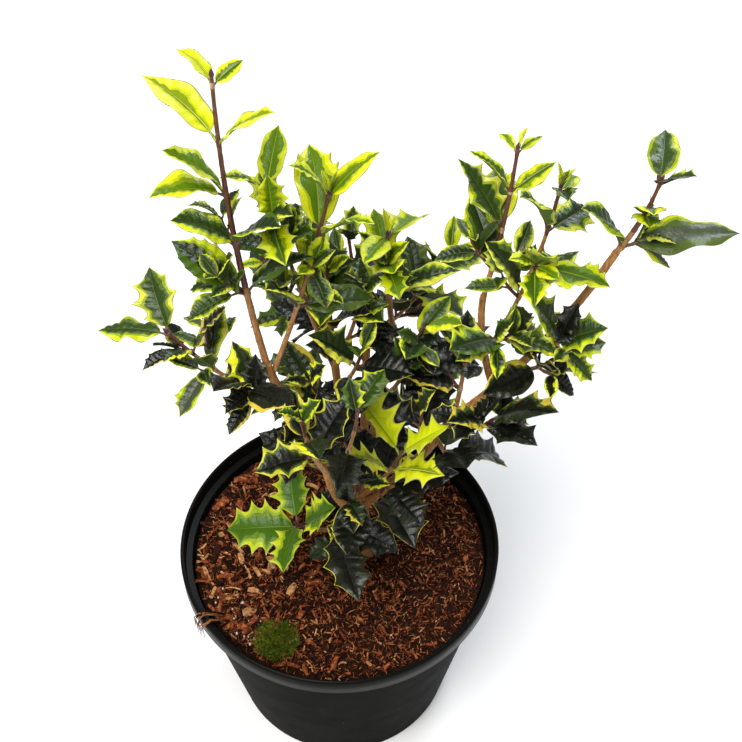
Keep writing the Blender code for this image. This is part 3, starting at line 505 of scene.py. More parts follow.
def strip(outer, inner, shares_outer, shares_inner):
    """Triangles between two chains of vertices that run side by side and end in the same vertex."""
    faces = []
    here = 0
    there = 0
    while here < len(outer) - 1 or there < len(inner) - 1:
        step_outer = there == len(inner) - 1 or (
            here < len(outer) - 1 and shares_outer[here + 1] <= shares_inner[there + 1]
        )
        corner = outer[here + 1] if step_outer else inner[there + 1]
        face = (outer[here], corner, inner[there])
        if len(set(face)) == 3:
            faces.append(face)
        here += step_outer
        there += not step_outer
    return faces


def leaf_solid(leaf, margin=0.0, start=0.0):
    """A thin lens-shaped blade on a petiole, as one closed solid; margin swells it on all sides.

    The midrib has a corner beside each valley between two spines, so that every facet spreads outward from it.
    """
    rows = leaf_outline(leaf)
    outline = [(start, PETIOLE_HALF_WIDTH)] + [row for row in rows if row[0] > start]
    middles = [start] + ([row[0] for row in rows[2:-2:2]] if leaf.teeth else [0.5])
    vertices = []
    left = []
    right = []
    for share, width in outline[:-1]:
        for chain, sign in ((left, 1), (right, -1)):
            chain.append(len(vertices))
            vertices.append(leaf_point(leaf, share, sign * (width + margin), 0.0))
    over = []
    under = []
    for share in middles:
        depth = PETIOLE_HALF_DEPTH if share == start else BLADE_HALF_DEPTH
        for chain, sign in ((over, 1), (under, -1)):
            chain.append(len(vertices))
            vertices.append(leaf_point(leaf, share, 0.0, sign * (depth + margin)))
    tip = len(vertices)
    vertices.append(leaf_point(leaf, 1.0 + margin / leaf.length, 0.0, 0.0))
    for chain in (left, right, over, under):
        chain.append(tip)
    sides = [row[0] for row in outline]
    middle = middles + [1.0]
    faces = []
    for edge, ridge in ((left, over), (right, over), (right, under), (left, under)):
        faces += strip(edge, ridge, sides, middle)
    faces.append((left[0], over[0], right[0], under[0]))
    return vertices, faces


def tree_of(solid):
    """A solid's search tree with its lowest and highest corners."""
    vertices, faces = solid
    low = [min(vertex[axis] for vertex in vertices) for axis in range(3)]
    high = [max(vertex[axis] for vertex in vertices) for axis in range(3)]
    return BVHTree.FromPolygons(vertices, faces), low, high


def touches(tree, others):
    found, low, high = tree
    for other, other_low, other_high in others:
        apart = any(high[axis] < other_low[axis] or other_high[axis] < low[axis] for axis in range(3))
        if not apart and found.overlap(other):
            return True
    return False


def make_leaf(name, node, chord, axis, length, spiny):
    """A leaf with its upper side turned to the light and to the stem that bears it; its name is its seed."""
    chance = random.Random(name)
    face = axis * 0.5 + UP * 0.9
    face = (face - chord * face.dot(chord)).normalized()
    face = Matrix.Rotation(math.radians(chance.uniform(-16, 16)), 3, chord) @ face
    droop = math.radians(chance.uniform(18, 62))
    fold = math.radians(chance.uniform(4, 22))
    teeth = (2 if length < 38 else 3) if spiny else 0
    share = SPINY_HALF_WIDTH if spiny else ENTIRE_HALF_WIDTH
    half_width = length * share * chance.uniform(0.9, 1.12)
    return Leaf(name, node, chord, face, length, half_width, teeth, droop, fold)


def way_out(stem, share, roll, opening):
    """The node at a share of a stem, the way out of it for a roll about the stem, and the stem's heading."""
    axis = heading_at(stem, share)
    first, second = across(axis)
    angle = math.radians(roll)
    aside = first * math.cos(angle) + second * math.sin(angle)
    opening = math.radians(opening)
    way = axis * math.cos(opening) + aside * math.sin(opening)
    return place_at(stem, share), way.normalized(), axis


class Mass:
    """One foliage mass as it grows: its stem, side twigs and leaves, with search trees to test against."""

    def __init__(self, stem):
        self.stem = stem
        self.twigs = []
        self.leaves = []
        self.wholes = [tree_of(stem_tube(stem, STEM_SIDES, STEM_SPACING))]
        self.blades = list(self.wholes)

    def add_leaf(self, name, curve, share, roll, opening, length, spiny, taken, laid=None):
        """Adds the first leaf of the tries that stands clear of everything else, or none."""
        for turn, lift in LEAF_TRIES:
            node, chord, axis = way_out(curve, share, roll + turn, opening - lift)
            if laid:
                chord = pointing(laid.bearing + turn, laid.lift + lift)
                length = laid.length
            leaf = make_leaf(name, node, chord, axis, length, spiny)
            whole = tree_of(leaf_solid(leaf, LEAF_CLEARANCE))
            blade = tree_of(leaf_solid(leaf, LEAF_CLEARANCE, BLADE_START))
            if not touches(whole, taken) and not touches(blade, self.blades):
                self.leaves.append(leaf)
                self.wholes.append(tree_of(leaf_solid(leaf)))
                self.blades.append(tree_of(leaf_solid(leaf, 0.0, BLADE_START)))
                return

    def add_twig(self, share, roll, length, shoot, seed, taken):
        """Adds a short side twig in a leaf's axil, with a pair of leaves and a smaller pair at its end."""
        chance = random.Random(seed)
        node, way, _ = way_out(self.stem.curve, share, roll, TWIG_OPENING)
        twig = Twig(bowed(node, node + way * length, 1.5), TWIG_FOOT_RADIUS, TWIG_TIP_RADIUS)
        if touches(tree_of(stem_tube(twig, TWIG_SIDES, STEM_SPACING, LEAF_CLEARANCE)), taken):
            return
        self.twigs.append(twig)
        self.wholes.append(tree_of(stem_tube(twig, TWIG_SIDES, STEM_SPACING)))
        for level, (along, size) in enumerate(((0.55, 1.0), (0.97, 0.75))):
            turned = roll + 90 * level + chance.uniform(-25, 25)
            for side in (0, 180):
                long = shoot.leaf * TWIG_LEAF_SHARE * size * chance.uniform(0.85, 1.15)
                spiny = chance.random() < shoot.spiny
                self.add_leaf(f"{seed} {level} {side}", twig.curve, along, turned + side, 58, long, spiny, taken)


def trunk_radius(height):
    taper = height / (TRUNK_FORK.z - TRUNK_FOOT.z)
    flare = FLARE * math.exp(-height / FLARE_HEIGHT)
    return TRUNK_FOOT_RADIUS + (TRUNK_FORK_RADIUS - TRUNK_FOOT_RADIUS) * taper + flare


def trunk_tube(extra=0.0, sides=12):
    curve = bowed(TRUNK_FOOT, TRUNK_FORK, TRUNK_BOW)
    shares = (0.0, 0.06, 0.15, 0.3, 0.55, 0.8, 1.0)
    points = [place_at(curve, share) for share in shares]
    points[-1] += heading_at(curve, 1.0) * extra
    radii = [trunk_radius(point.z - TRUNK_FOOT.z) + extra for point in points]
    vertices, faces = tube(points, radii, sides)
    foot = TRUNK_FOOT.z
    for vertex in vertices[:sides]:
        vertex.z = foot
    return vertices, faces


def lay_limbs():
    """The boughs' twigs by name, each from its parent's middle line to its tip."""
    limbs = {"trunk": Twig(bowed(TRUNK_FOOT, TRUNK_FORK, TRUNK_BOW), TRUNK_FOOT_RADIUS, TRUNK_FORK_RADIUS)}
    for name, bough in BOUGHS.items():
        start = place_at(limbs[bough.parent].curve, bough.share)
        limbs[name] = Twig(bowed(start, bough.tip, bough.bow), bough.foot_radius, bough.tip_radius)
    return limbs


def lay_stem(shoot, limbs):
    """The stem of a foliage mass, from inside its limb to its tip."""
    limb = limbs[shoot.limb]
    radius = limb.foot_radius + (limb.tip_radius - limb.foot_radius) * shoot.share
    start = place_at(limb.curve, shoot.share)
    if shoot.share == 1.0:
        start -= heading_at(limb.curve, 1.0)
    foot = radius * (0.95 if shoot.share == 1.0 else 0.7)
    return Twig(bowed(start, shoot.tip, shoot.bow), min(foot, STEM_FOOT_RADIUS * 1.3), STEM_TIP_RADIUS)


def limb_solid(name, limb, extra=0.0):
    if name == "trunk":
        return trunk_tube(extra)
    curve = limb.curve
    if extra:
        curve = Curve(curve.start, curve.middle, curve.tip + heading_at(curve, 1.0) * extra)
    return stem_tube(Twig(curve, limb.foot_radius, limb.tip_radius), BOUGH_SIDES, BOUGH_SPACING, extra, False)


def pair_share(shoot, level):
    """The share of a shoot's stem at which a leaf pair stands; the last pair is at its tip."""
    return shoot.first + (0.97 - shoot.first) * level / max(shoot.pairs - 1, 1)


def grow_plant(ground):
    """Grows every mass: first the leaf pairs of all stems, then the side twigs, each where room is left."""
    limbs = lay_limbs()
    masses = {name: Mass(lay_stem(shoot, limbs)) for name, shoot in SHOOTS.items()}
    fixed = ground + [tree_of(limb_solid(name, limb)) for name, limb in limbs.items()]

    def taken_for(name):
        return fixed + [tree for other in masses if other != name for tree in masses[other].wholes]

    for name, shoot in SHOOTS.items():
        taken = taken_for(name)
        for level in reversed(range(shoot.pairs)):
            along = level / max(shoot.pairs - 1, 1)
            opening = OPEN_LOW + (OPEN_TOP - OPEN_LOW) * along
            size = 1.0 - (1.0 - TIP_LEAF_SHARE) * along**2
            for side in (0, 1):
                seed = f"{name} {level} {side}"
                chance = random.Random(seed + " place")
                roll = shoot.roll + 90 * level + 180 * side + chance.uniform(-12, 12)
                length = shoot.leaf * size * chance.uniform(0.9, 1.1)
                spiny = chance.random() < shoot.spiny
                laid = LAID_LEAVES.get((name, level, side))
                curve = masses[name].stem.curve
                share = pair_share(shoot, level)
                masses[name].add_leaf(seed, curve, share, roll, opening, length, spiny, taken, laid)
    for name, shoot in SHOOTS.items():
        taken = taken_for(name)
        for number in range(shoot.twigs):
            level = number % max(shoot.pairs - 1, 1)
            share = pair_share(shoot, level)
            seed = f"{name} twig {number}"
            chance = random.Random(seed)
            roll = shoot.roll + 90 * level + 180 * (number % 2) + chance.uniform(-20, 20)
            length = shoot.leaf * chance.uniform(0.35, 0.6)
            masses[name].add_twig(share, roll, length, shoot, seed, taken)
    return limbs, masses


def turned(profile, steps=ROUND_STEPS):
    """A closed solid turned from (radius, height) rows that start and end on the axis."""
    vertices = [Vector((0.0, 0.0, profile[0][1]))]
    for radius, height in profile[1:-1]:
        for step in range(steps):
            angle = 2 * math.pi * step / steps
            vertices.append(Vector((radius * math.cos(angle), radius * math.sin(angle), height)))
    vertices.append(Vector((0.0, 0.0, profile[-1][1])))
    last = len(vertices) - 1
    rows = len(profile) - 2
    faces = []
    for step in range(steps):
        after = (step + 1) % steps
        faces.append((0, 1 + after, 1 + step))
        for row in range(rows - 1):
            here = 1 + row * steps
            faces.append((here + step, here + after, here + steps + after, here + steps + step))
        top = 1 + (rows - 1) * steps
        faces.append((top + step, top + after, last))
    return vertices, faces


def pot_solid(steps=ROUND_STEPS):
    """Out over the underside, up the outer wall, over the brim, and down inside to the floor."""
    outside = [
        (0.0, 0.0),
        (BASE_RADIUS - 2.0, 0.0),
        (BASE_RADIUS, 1.6),
        (BODY_TOP_RADIUS, BAND_FOOT),
        (LIP_RADIUS - 0.8, BAND_FOOT + 0.6),
        (LIP_RADIUS, BAND_FOOT + 1.6),
        (LIP_RADIUS, POT_HEIGHT - 1.3),
        (LIP_RADIUS - 0.6, POT_HEIGHT - 0.3),
        (LIP_RADIUS - 1.3, POT_HEIGHT),
    ]
    inside = [
        (LIP_RADIUS - 2.1, POT_HEIGHT - 0.4),
        (LIP_RADIUS - 2.4, POT_HEIGHT - 1.6),
        (LIP_RADIUS - 2.8, LEDGE_HEIGHT + 1.2),
        (LEDGE_RADIUS, LEDGE_HEIGHT),
        (LEDGE_SLOPE_RADIUS, LEDGE_SLOPE_HEIGHT),
        (INSIDE_FOOT_RADIUS, FLOOR),
        (0.0, FLOOR),
    ]
    return turned(outside + inside, steps)


def soil_solid():
    """The compost: clear of the pot by the gap, with a flat patch in the middle."""
    wall_slope = (LEDGE_SLOPE_RADIUS - INSIDE_FOOT_RADIUS) / (LEDGE_SLOPE_HEIGHT - FLOOR)
    foot = INSIDE_FOOT_RADIUS - GAP
    brim = foot + wall_slope * (SOIL_EDGE - SOIL_ROUNDING - FLOOR - GAP)
    return turned(
        [
            (0.0, FLOOR + GAP),
            (foot, FLOOR + GAP),
            (brim, SOIL_EDGE - SOIL_ROUNDING),
            (brim - 2.0, SOIL_EDGE),
            (SOIL_SHOULDER_RADIUS, SOIL_SHOULDER),
            (SOIL_FLAT_RADIUS, SOIL_TOP),
            (0.0, SOIL_TOP),
        ]
    )


def moss_solid():
    """A low cushion that rests on the compost's slope with the inner edge of its flat foot."""
    vertices, faces = turned(
        [
            (0.0, 0.0),
            (MOSS_RADIUS * 0.8, 0.0),
            (MOSS_RADIUS, MOSS_HEIGHT * 0.3),
            (MOSS_RADIUS * 0.75, MOSS_HEIGHT * 0.85),
            (0.0, MOSS_HEIGHT),
        ],
        14,
    )
    inner_edge = math.hypot(*MOSS_PLACE) - MOSS_RADIUS * 0.8
    slope = (SOIL_SHOULDER - SOIL_EDGE) / (LEDGE_RADIUS - SOIL_SHOULDER_RADIUS)
    foot = SOIL_SHOULDER - slope * (inner_edge - SOIL_SHOULDER_RADIUS) + GAP
    return [vertex + Vector((*MOSS_PLACE, foot)) for vertex in vertices], faces


class Skin:
    """Corners, faces and shades of one joined mesh, gathered shape by shape."""

    def __init__(self, name):
        self.name = name
        self.points = []
        self.faces = []
        self.shades = []
        self.flats = []
        self.shapes = []

    def add(self, points, faces, shades, flats):
        """Adds a shape, with a shade's name and a row of flat corners for each face."""
        first = len(self.points)
        self.shapes.append(len(self.faces))
        self.points.extend(points)
        self.faces.extend(tuple(first + corner for corner in face) for face in faces)
        self.shades.extend(shades)
        self.flats.extend(flats)

    def add_plain(self, points, faces, shade):
        """Adds a shape in one shade, laid flat on its widest plane."""
        spans = [max(p[axis] for p in points) - min(p[axis] for p in points) for axis in range(3)]
        wide, high = sorted(range(3), key=lambda axis: -spans[axis])[:2]
        low = [min(p[axis] for p in points) for axis in (wide, high)]
        flat = [((p[wide] - low[0]) / max(spans), (p[high] - low[1]) / max(spans)) for p in points]
        self.add(points, faces, [shade] * len(faces), [[flat[corner] for corner in face] for face in faces])

    def build(self, materials, smooth=True):
        """Makes the object, with a UV map that gives every shape a cell of its own."""
        mesh = bpy.data.meshes.new(self.name)
        mesh.from_pydata([tuple(point * MM) for point in self.points], [], self.faces)
        names = sorted(set(self.shades))
        for name in names:
            mesh.materials.append(materials[name])
        places = {name: number for number, name in enumerate(names)}
        mesh.polygons.foreach_set("material_index", [places[name] for name in self.shades])
        mesh.polygons.foreach_set("use_smooth", [smooth] * len(self.faces))
        cells = math.ceil(math.sqrt(len(self.shapes)))
        flat = np.array([uv for row in self.flats for uv in row], dtype=np.float32) * 0.92 + 0.04
        starts = self.shapes + [len(self.faces)]
        corner = 0
        for number in range(len(self.shapes)):
            count = sum(len(row) for row in self.flats[starts[number] : starts[number + 1]])
            flat[corner : corner + count] += (number % cells, number // cells)
            corner += count
        mesh.uv_layers.new(name="OFBake").uv.foreach_set("vector", (flat / cells).ravel())
        mesh.update()
        thing = bpy.data.objects.new(self.name, mesh)
        bpy.context.scene.collection.objects.link(thing)
        return thing


Edge = namedtuple("Edge", "spines step valley crest")


def fine_edge(leaf, tone_name):
    """Where a blade's spines stand, how far apart they are, and its width in the valleys and at the spines."""
    chance = random.Random(leaf.name + " edge")
    if leaf.teeth:
        count = SPINES + 1 if tone_name == "cut" else SPINES
        step = 0.84 / (count + 0.25)
        spines = [0.11 + step * (number + 0.3) for number in range(count)]
        deep = tone_name in ("lemon", "lime")
        return Edge(spines, step, DEEP_VALLEY if deep else SHALLOW_VALLEY, SPINE_CREST)
    if chance.random() < 0.4:
        return Edge([0.50, 0.64, 0.77][chance.choice((0, 1)) :], 0.14, 0.96, 1.06)
    return Edge([], 1.0, 1.0, 1.0)


def spike_at(edge, point):
    """How far a point of the margin lies up a spine: 1 at the spine's tip, 0 in the valleys."""
    if not edge.spines:
        return 0.0
    away = min(abs(point - spine) for spine in edge.spines) / (edge.step * 0.5)
    return max(0.0, 1.0 - away) ** SPINE_SHARPNESS


def fine_width(leaf, edge, point):
    """Half width of the blade at a share of its length."""
    if point >= 1.0:
        return 0.0
    width = leaf.half_width * math.sin(math.pi * point**0.85) ** 0.7
    width *= min(1.0, ((1.0 - point) / 0.2) ** 0.4)
    return width * (edge.valley + (edge.crest - edge.valley) * spike_at(edge, point))


def slanted(row, out):
    """The share of length that a row reaches at a share of the half width, as side veins run forward."""
    return row + VEIN_SLANT * out * 4 * row * (1 - row)


def blade_rows(edge, count):
    """Shares of the midrib where rows start, with three close rows that run out to every spine."""
    rows = [row / count for row in range(count + 1)]
    for spine in edge.spines:
        start = spine
        for _ in range(8):
            start = spine - (slanted(start, 1.0) - start)
        rows = [row for row in rows if abs(row - start) > 0.4 / count]
        rows += [start - 0.011, start, start + 0.011]
    return sorted(rows)


def wander(seed, side, point):
    """A value of about -0.5 to 0.5 that wanders along one side of a blade and steps a little at its veins."""
    slow = noise.noise(Vector((seed, side * 9.0, point * 3.5)))
    quick = noise.noise(Vector((seed, side * 9.0 + 4.0, point * 11.0)))
    return slow + 0.35 * quick + 0.12 * ((point * VEINS) % 1.0 - 0.5)


def zone_edges(start, reach, seed, side, point):
    """Shares of the half width where the band, its rim and the margin start at a point along one side."""
    margin = min(0.96, max(0.2, start + reach * wander(seed, side, point)))
    rim = margin - 0.14 - 0.14 * abs(wander(seed + 50.0, side, point))
    band = rim * (0.72 + 0.5 * wander(seed + 90.0, side, point))
    return min(band, rim - 0.02), rim, margin


def fine_leaf(skin, leaf, tone_name):
    """A blade in its tone's zones: an upper and a lower layer that share a rim and swell between the veins."""
    chance = random.Random(leaf.name + " looks")
    edge = fine_edge(leaf, tone_name)
    rows = blade_rows(edge, BLADE_ROWS if leaf.length > SMALL_BLADE else SMALL_BLADE_ROWS)
    wave = chance.uniform(0.08, 0.2) * leaf.half_width
    phase = chance.uniform(0, 2 * math.pi)
    curl = chance.uniform(-0.06, 0.30) * leaf.half_width
    pitch = chance.uniform(0.4, 0.7)
    twist = chance.uniform(-0.3, 0.3)
    swing = chance.uniform(-0.05, 0.05) * leaf.length
    seed = chance.uniform(0, 500)
    tone = TONES[tone_name]
    narrowing, waviness = RESHAPED.get(leaf.name, (1.0, 1.0))
    leaf = leaf._replace(half_width=leaf.half_width * narrowing)
    wave *= waviness
    swelling = QUILTED_SWELLING if tone_name in ("dark", "patched", "mature") else SWELLING
    bare = {side: chance.random() < tone.bare for side in (-1, 1)}
    shift = {side: chance.uniform(-0.14, 0.18) for side in (-1, 1)}
    centre, band, margin = (chance.choice(names) for names in (tone.centre, tone.band, tone.margin))
    points = []

    def corner(row, out, side, layer):
        """A corner of the blade, at a row's start on the midrib and a share of the half width."""
        point = slanted(row, out)
        aside = fine_width(leaf, edge, point) * out
        spike = spike_at(edge, point) * out**3
        share = PETIOLE_SHARE + (1 - PETIOLE_SHARE) * min(1.0, point + SPINE_LEAN * spike)
        rim = (aside / leaf.half_width) ** 2
        ripple = math.cos(2 * math.pi * point / pitch + phase + side)
        rise = (wave * ripple - curl) * rim + twist * aside * side * (point - 0.3) + 1.5 * wave * spike
        rise += swelling * abs(math.sin(math.pi * VEINS * row)) * 4 * out * (1 - out) * min(1.0, aside / 2)
        depth = BLADE_HALF_THICKNESS * (1 - out**4)
        if out == 0.0:
            depth = 0.0 if layer > 0 else 0.65 * (1.1 - point)
        points.append(leaf_point(leaf, share, side * aside + swing * point**2, rise + layer * depth))
        return len(points) - 1

    corners = {}
    for number, row in enumerate(rows):
        rib = min(0.3, MIDRIB_HALF_WIDTH * (1.15 - row) / max(fine_width(leaf, edge, row), 0.01))
        for layer in (1, -1):
            corners[number, 0, layer] = corner(row, 0.0, 1, layer)
        for side in (-1, 1):
            start = 0.95 if bare[side] else tone.start + shift[side]
            zones = zone_edges(start, 0.0 if bare[side] else tone.wander, seed, side, row)
            inner, middle, outer = (max(rib + gap, zone) for gap, zone in zip((0.05, 0.08, 0.11), zones))
            for column, out in enumerate((rib, inner, middle, outer, outer + 0.72 * (1 - outer), 1.0), 1):
                corners[number, side * column, 1] = corner(row, out, side, 1)
                if column == HALF_COLUMNS:
                    corners[number, side * column, -1] = corners[number, side * column, 1]
                else:
                    corners[number, side * column, -1] = corner(row, out, side, -1)
    below = UNDERSIDES.get(tone_name, "leaf_under_dark")
    faces = []
    shades = []
    flats = []
    for layer in (1, -1):
        for number in range(len(rows) - 1):
            for side in (-1, 1):
                margins = (band, band, band) if bare[side] else (tone.rim, margin, tone.edge)
                upper = (tone.rib, centre, band, *margins)
                under = (below,) * 6 if bare[side] else (below,) * 4 + ("leaf_under_lime",) * 2
                for column in range(HALF_COLUMNS):
                    ends = [(number, side * column), (number, side * (column + 1)),
                            (number + 1, side * (column + 1)), (number + 1, side * column)]
                    if side * layer < 0:
                        ends.reverse()
                    faces.append([corners[here[0], here[1], layer] for here in ends])
                    flats.append([(0.5 + 0.5 * here[1] / HALF_COLUMNS, rows[here[0]]) for here in ends])
                    shades.append(upper[column] if layer > 0 else under[column])
    skin.add(points, faces, shades, flats)


def stalk(leaf):
    """A leaf's stalk, from the node into the foot of the blade's midrib."""
    shares = (0.0, 0.05, 0.1, PETIOLE_SHARE + 0.03)
    centres = [leaf_point(leaf, share, 0.0, -0.1) for share in shares]
    size = 0.42 + leaf.length * 0.009
    return tube(centres, [size * 1.25, size, size * 0.85, size * 0.6], 7)


def tone_for(mass, name):
    """The tone of a leaf by its mass and its level there, now and then the tone beside it."""
    chance = random.Random(name + " tone")
    run = TONE_RUNS.get(mass, OTHER_TONES)
    words = name[len(mass) + 1 :].split()
    steady = words[0].isdigit()
    level = int(words[0] if steady else words[1]) % len(run)
    return run[level] if chance.random() < (0.9 if steady else 0.6) else BESIDE[run[level]]


def grow_finer(limbs, masses, ground):
    """Goes on with the rule: more side twigs in the axils left free, each with small leaves."""
    fixed = ground + [tree_of(limb_solid(name, limb)) for name, limb in limbs.items()]
    for name, shoot in SHOOTS.items():
        if name in CLEAR_SHOOTS:
            continue
        taken = fixed + [tree for other in masses if other != name for tree in masses[other].wholes]
        chance = random.Random(name + " finer")
        for number in range(1 if name in YOUNG_SHOOTS else FINE_TWIGS):
            level = number % max(shoot.pairs - 1, 1)
            share = pair_share(shoot, level)
            roll = shoot.roll + 90 * level + 180 * ((number + shoot.twigs) % 2) + chance.uniform(-25, 25)
            small = shoot._replace(leaf=FINE_TWIG_LEAF / TWIG_LEAF_SHARE)
            masses[name].add_twig(share, roll, chance.uniform(7, 13), small, f"{name} fine {number}", taken)


def relief(vertices, points, radii, sides, amount, depth):
    """Lifts a tube's corners by an even grain and presses shallow furrows into it, as shares of its radius."""
    for number in range(len(points) * sides):
        ring = number // sides
        out = (vertices[number] - points[ring]).normalized()
        angle = 2 * math.pi * (number % sides) / sides
        where = Vector((math.cos(angle) * 2.6, math.sin(angle) * 2.6, points[ring].z * 0.06))
        furrow = max(0.0, 0.16 - abs(noise.noise(where))) / 0.16
        grain = noise.noise(vertices[number] * 0.9)
        vertices[number] += out * radii[ring] * (amount * grain - depth * furrow)


def ring_flats(faces, rings, sides):
    """Flat corners for a tube's faces: round it across, along it up, and its ends in one corner."""
    rows = []
    for number, face in enumerate(faces):
        ring, corner = divmod(number, sides)
        if len(face) == 4 and ring < rings - 1:
            low, high = ring / rings, (ring + 1) / rings
            left, right = corner / sides, (corner + 1) / sides
            rows.append([(left, low), (right, low), (right, high), (left, high)])
        else:
            rows.append([(0.5, 0.99)] * len(face))
    return rows


def fine_stem(skin, twig, knots, sides, shade_low, shade_high, turn_share):
    """A stem along its curve, a little swollen and pale-scarred at its nodes, old bark below and young above."""
    total = length_of(twig.curve)
    rings = max(4, round(total / 1.4) + 1)
    shares = [ring / (rings - 1) for ring in range(rings)]
    points = [place_at(twig.curve, share) for share in shares]
    swells = [max([math.exp(-(((share - knot) * total / 1.1) ** 2)) for knot in knots]) for share in shares]
    radii = []
    for share, swell in zip(shares, swells):
        plain = twig.foot_radius + (twig.tip_radius - twig.foot_radius) * share
        radii.append(plain * (SLIMNESS + 0.25 * swell))
    vertices, faces = tube(points, radii, sides)
    relief(vertices, points, radii, sides, 0.16, 0.06)
    shades = []
    for number in range(len(faces)):
        ring = min(number // sides, rings - 1)
        plain = shade_low if ring / rings < turn_share else shade_high
        shades.append("stem_scar" if 0.55 < swells[ring] < 0.8 and shade_low != shade_high else plain)
    skin.add(vertices, faces, shades, ring_flats(faces, rings, sides))


def bud(skin, place, heading, size, shade):
    """A pair of pointed scales closed over each other."""
    first, _ = across(heading)
    for sign in (1, -1):
        steps = ((-0.3, 0.0), (0.3, 0.2), (0.9, 0.18), (1.5, 0.04))
        centres = [place + heading * size * step + first * sign * size * side for step, side in steps]
        vertices, faces = tube(centres, [size * 0.3, size * 0.33, size * 0.22, size * 0.06], 6, True)
        skin.add_plain(vertices, faces, shade)


def bark_relief(skin, name, limb):
    """Trunk or bough with shallow furrows and a fine grain; the trunk's foot spreads into roots."""
    total = length_of(limb.curve)
    rings = max(6, round(total / 1.5))
    sides = 26 if name == "trunk" else 18
    shares = [ring / (rings - 1) for ring in range(rings)]
    points = [place_at(limb.curve, share) for share in shares]
    if name == "trunk":
        radii = [trunk_radius(point.z - TRUNK_FOOT.z) for point in points]
    else:
        radii = [limb.foot_radius + (limb.tip_radius - limb.foot_radius) * share for share in shares]
    vertices, faces = tube(points, radii, sides)
    relief(vertices, points, radii, sides, 0.10, 0.12)
    if name == "trunk":
        for number, vertex in enumerate(vertices[: rings * sides]):
            rise = max(0.0, vertex.z - TRUNK_FOOT.z)
            spread = FLARE * 0.35 * math.exp(-rise / FLARE_HEIGHT) * math.sin(6 * math.pi * (number % sides) / sides)
            vertices[number] = vertex + (vertex - points[number // sides]).normalized() * spread
        for vertex in vertices[:sides]:
            vertex.z = TRUNK_FOOT.z - 1.0
    skin.add(vertices, faces, ["bark"] * len(faces), ring_flats(faces, rings, sides))


class Nodes:
    """A material, and short calls for laying out its nodes."""

    def __init__(self, name, colour, roughness, specular):
        self.material = bpy.data.materials.new(name)
        self.material.use_nodes = True
        self.tree = self.material.node_tree
        self.shader = self.tree.nodes["Principled BSDF"]
        self.shader.inputs["Base Color"].default_value = (*colour, 1.0)
        self.shader.inputs["Roughness"].default_value = roughness
        self.shader.inputs["Specular IOR Level"].default_value = specular

    def new(self, kind, vector=None, **values):
        node = self.tree.nodes.new(kind)
        if vector:
            self.tree.links.new(vector, node.inputs["Vector"])
        for key, value in values.items():
            node.inputs[key].default_value = value
        return node

    def blotches(self, size, detail=3.0, roughness=0.6):
        """Noise whose grains measure about size millimetres along each axis."""
        where = self.new("ShaderNodeTexCoord").outputs["Object"]
        scaled = self.new("ShaderNodeMapping", where, Scale=[1000.0 / step for step in size])
        return self.new("ShaderNodeTexNoise", scaled.outputs["Vector"], Scale=1.0, Detail=detail,
                        Roughness=roughness).outputs["Fac"]

    def colour(self, value, stops):
        ramp = self.new("ShaderNodeValToRGB")
        self.tree.links.new(value, ramp.inputs["Fac"])
        elements = ramp.color_ramp.elements
        while len(elements) < len(stops):
            elements.new(0.5)
        for element, (place, colour) in zip(elements, stops):
            element.position = place
            element.color = (*colour, 1.0)
        self.tree.links.new(ramp.outputs["Color"], self.shader.inputs["Base Color"])

    def roughness(self, value, low, high):
        span = self.new("ShaderNodeMapRange", **{"To Min": low, "To Max": high})
        self.tree.links.new(value, span.inputs["Value"])
        self.tree.links.new(span.outputs["Result"], self.shader.inputs["Roughness"])

    def bump(self, height, distance):
        """Relief of a distance in millimetres."""
        node = self.new("ShaderNodeBump", Distance=distance * MM)
        self.tree.links.new(height, node.inputs["Height"])
        self.tree.links.new(node.outputs["Normal"], self.shader.inputs["Normal"])


def leaf_material(name, colour):
    """A leathery cuticle: fine pebbling and an uneven gloss above, matt below."""
    under = "under" in name
    nodes = Nodes(name, colour, 0.4, 0.12 if under else 0.2 if max(colour) > 0.1 else 0.34)
    nodes.bump(nodes.blotches((1.0, 1.0, 1.0), 2.0), 0.22)
    low, high = (0.55, 0.75) if under else (0.2, 0.4)
    nodes.roughness(nodes.blotches((6.0, 6.0, 6.0), 2.0), low, high)
    return nodes.material


def stem_material(name, colour):
    nodes = Nodes(name, colour, 0.5, 0.4)
    grain = nodes.blotches((0.8, 0.8, 4.0))
    light = tuple(min(1.0, channel * 1.6 + 0.01) for channel in colour)
    dark = tuple(channel * 0.55 for channel in colour)
    nodes.colour(grain, ((0.3, dark), (0.52, colour), (0.72, light)))
    nodes.bump(grain, 0.2)
    return nodes.material


def bark_material():
    nodes = Nodes("bark", (0.2, 0.1, 0.05), 0.7, 0.3)
    grain = nodes.blotches((1.2, 1.2, 7.0), 6.0, 0.7)
    nodes.colour(grain, ((0.26, (0.08, 0.030, 0.009)), (0.43, (0.27, 0.115, 0.030)),
                         (0.6, (0.44, 0.22, 0.065)), (0.8, (0.6, 0.42, 0.20))))
    nodes.roughness(nodes.blotches((4.0, 4.0, 4.0)), 0.55, 0.85)
    nodes.bump(grain, 0.35)
    return nodes.material


def pot_material(name, gloss, low, high):
    """Black moulded plastic: faint orange peel, scuffed patches and a few pale specks of dust."""
    black = (0.004, 0.004, 0.0036)
    nodes = Nodes(name, black, 0.4, gloss)
    dust = nodes.blotches((2.0, 2.0, 2.0), 1.0)
    nodes.colour(dust, ((0.0, black), (0.79, black), (0.83, (0.16, 0.14, 0.11))))
    nodes.roughness(nodes.blotches((26.0, 26.0, 14.0), 5.0), low, high)
    nodes.bump(nodes.blotches((0.9, 0.9, 0.9), 2.0), 0.02)
    return nodes.material


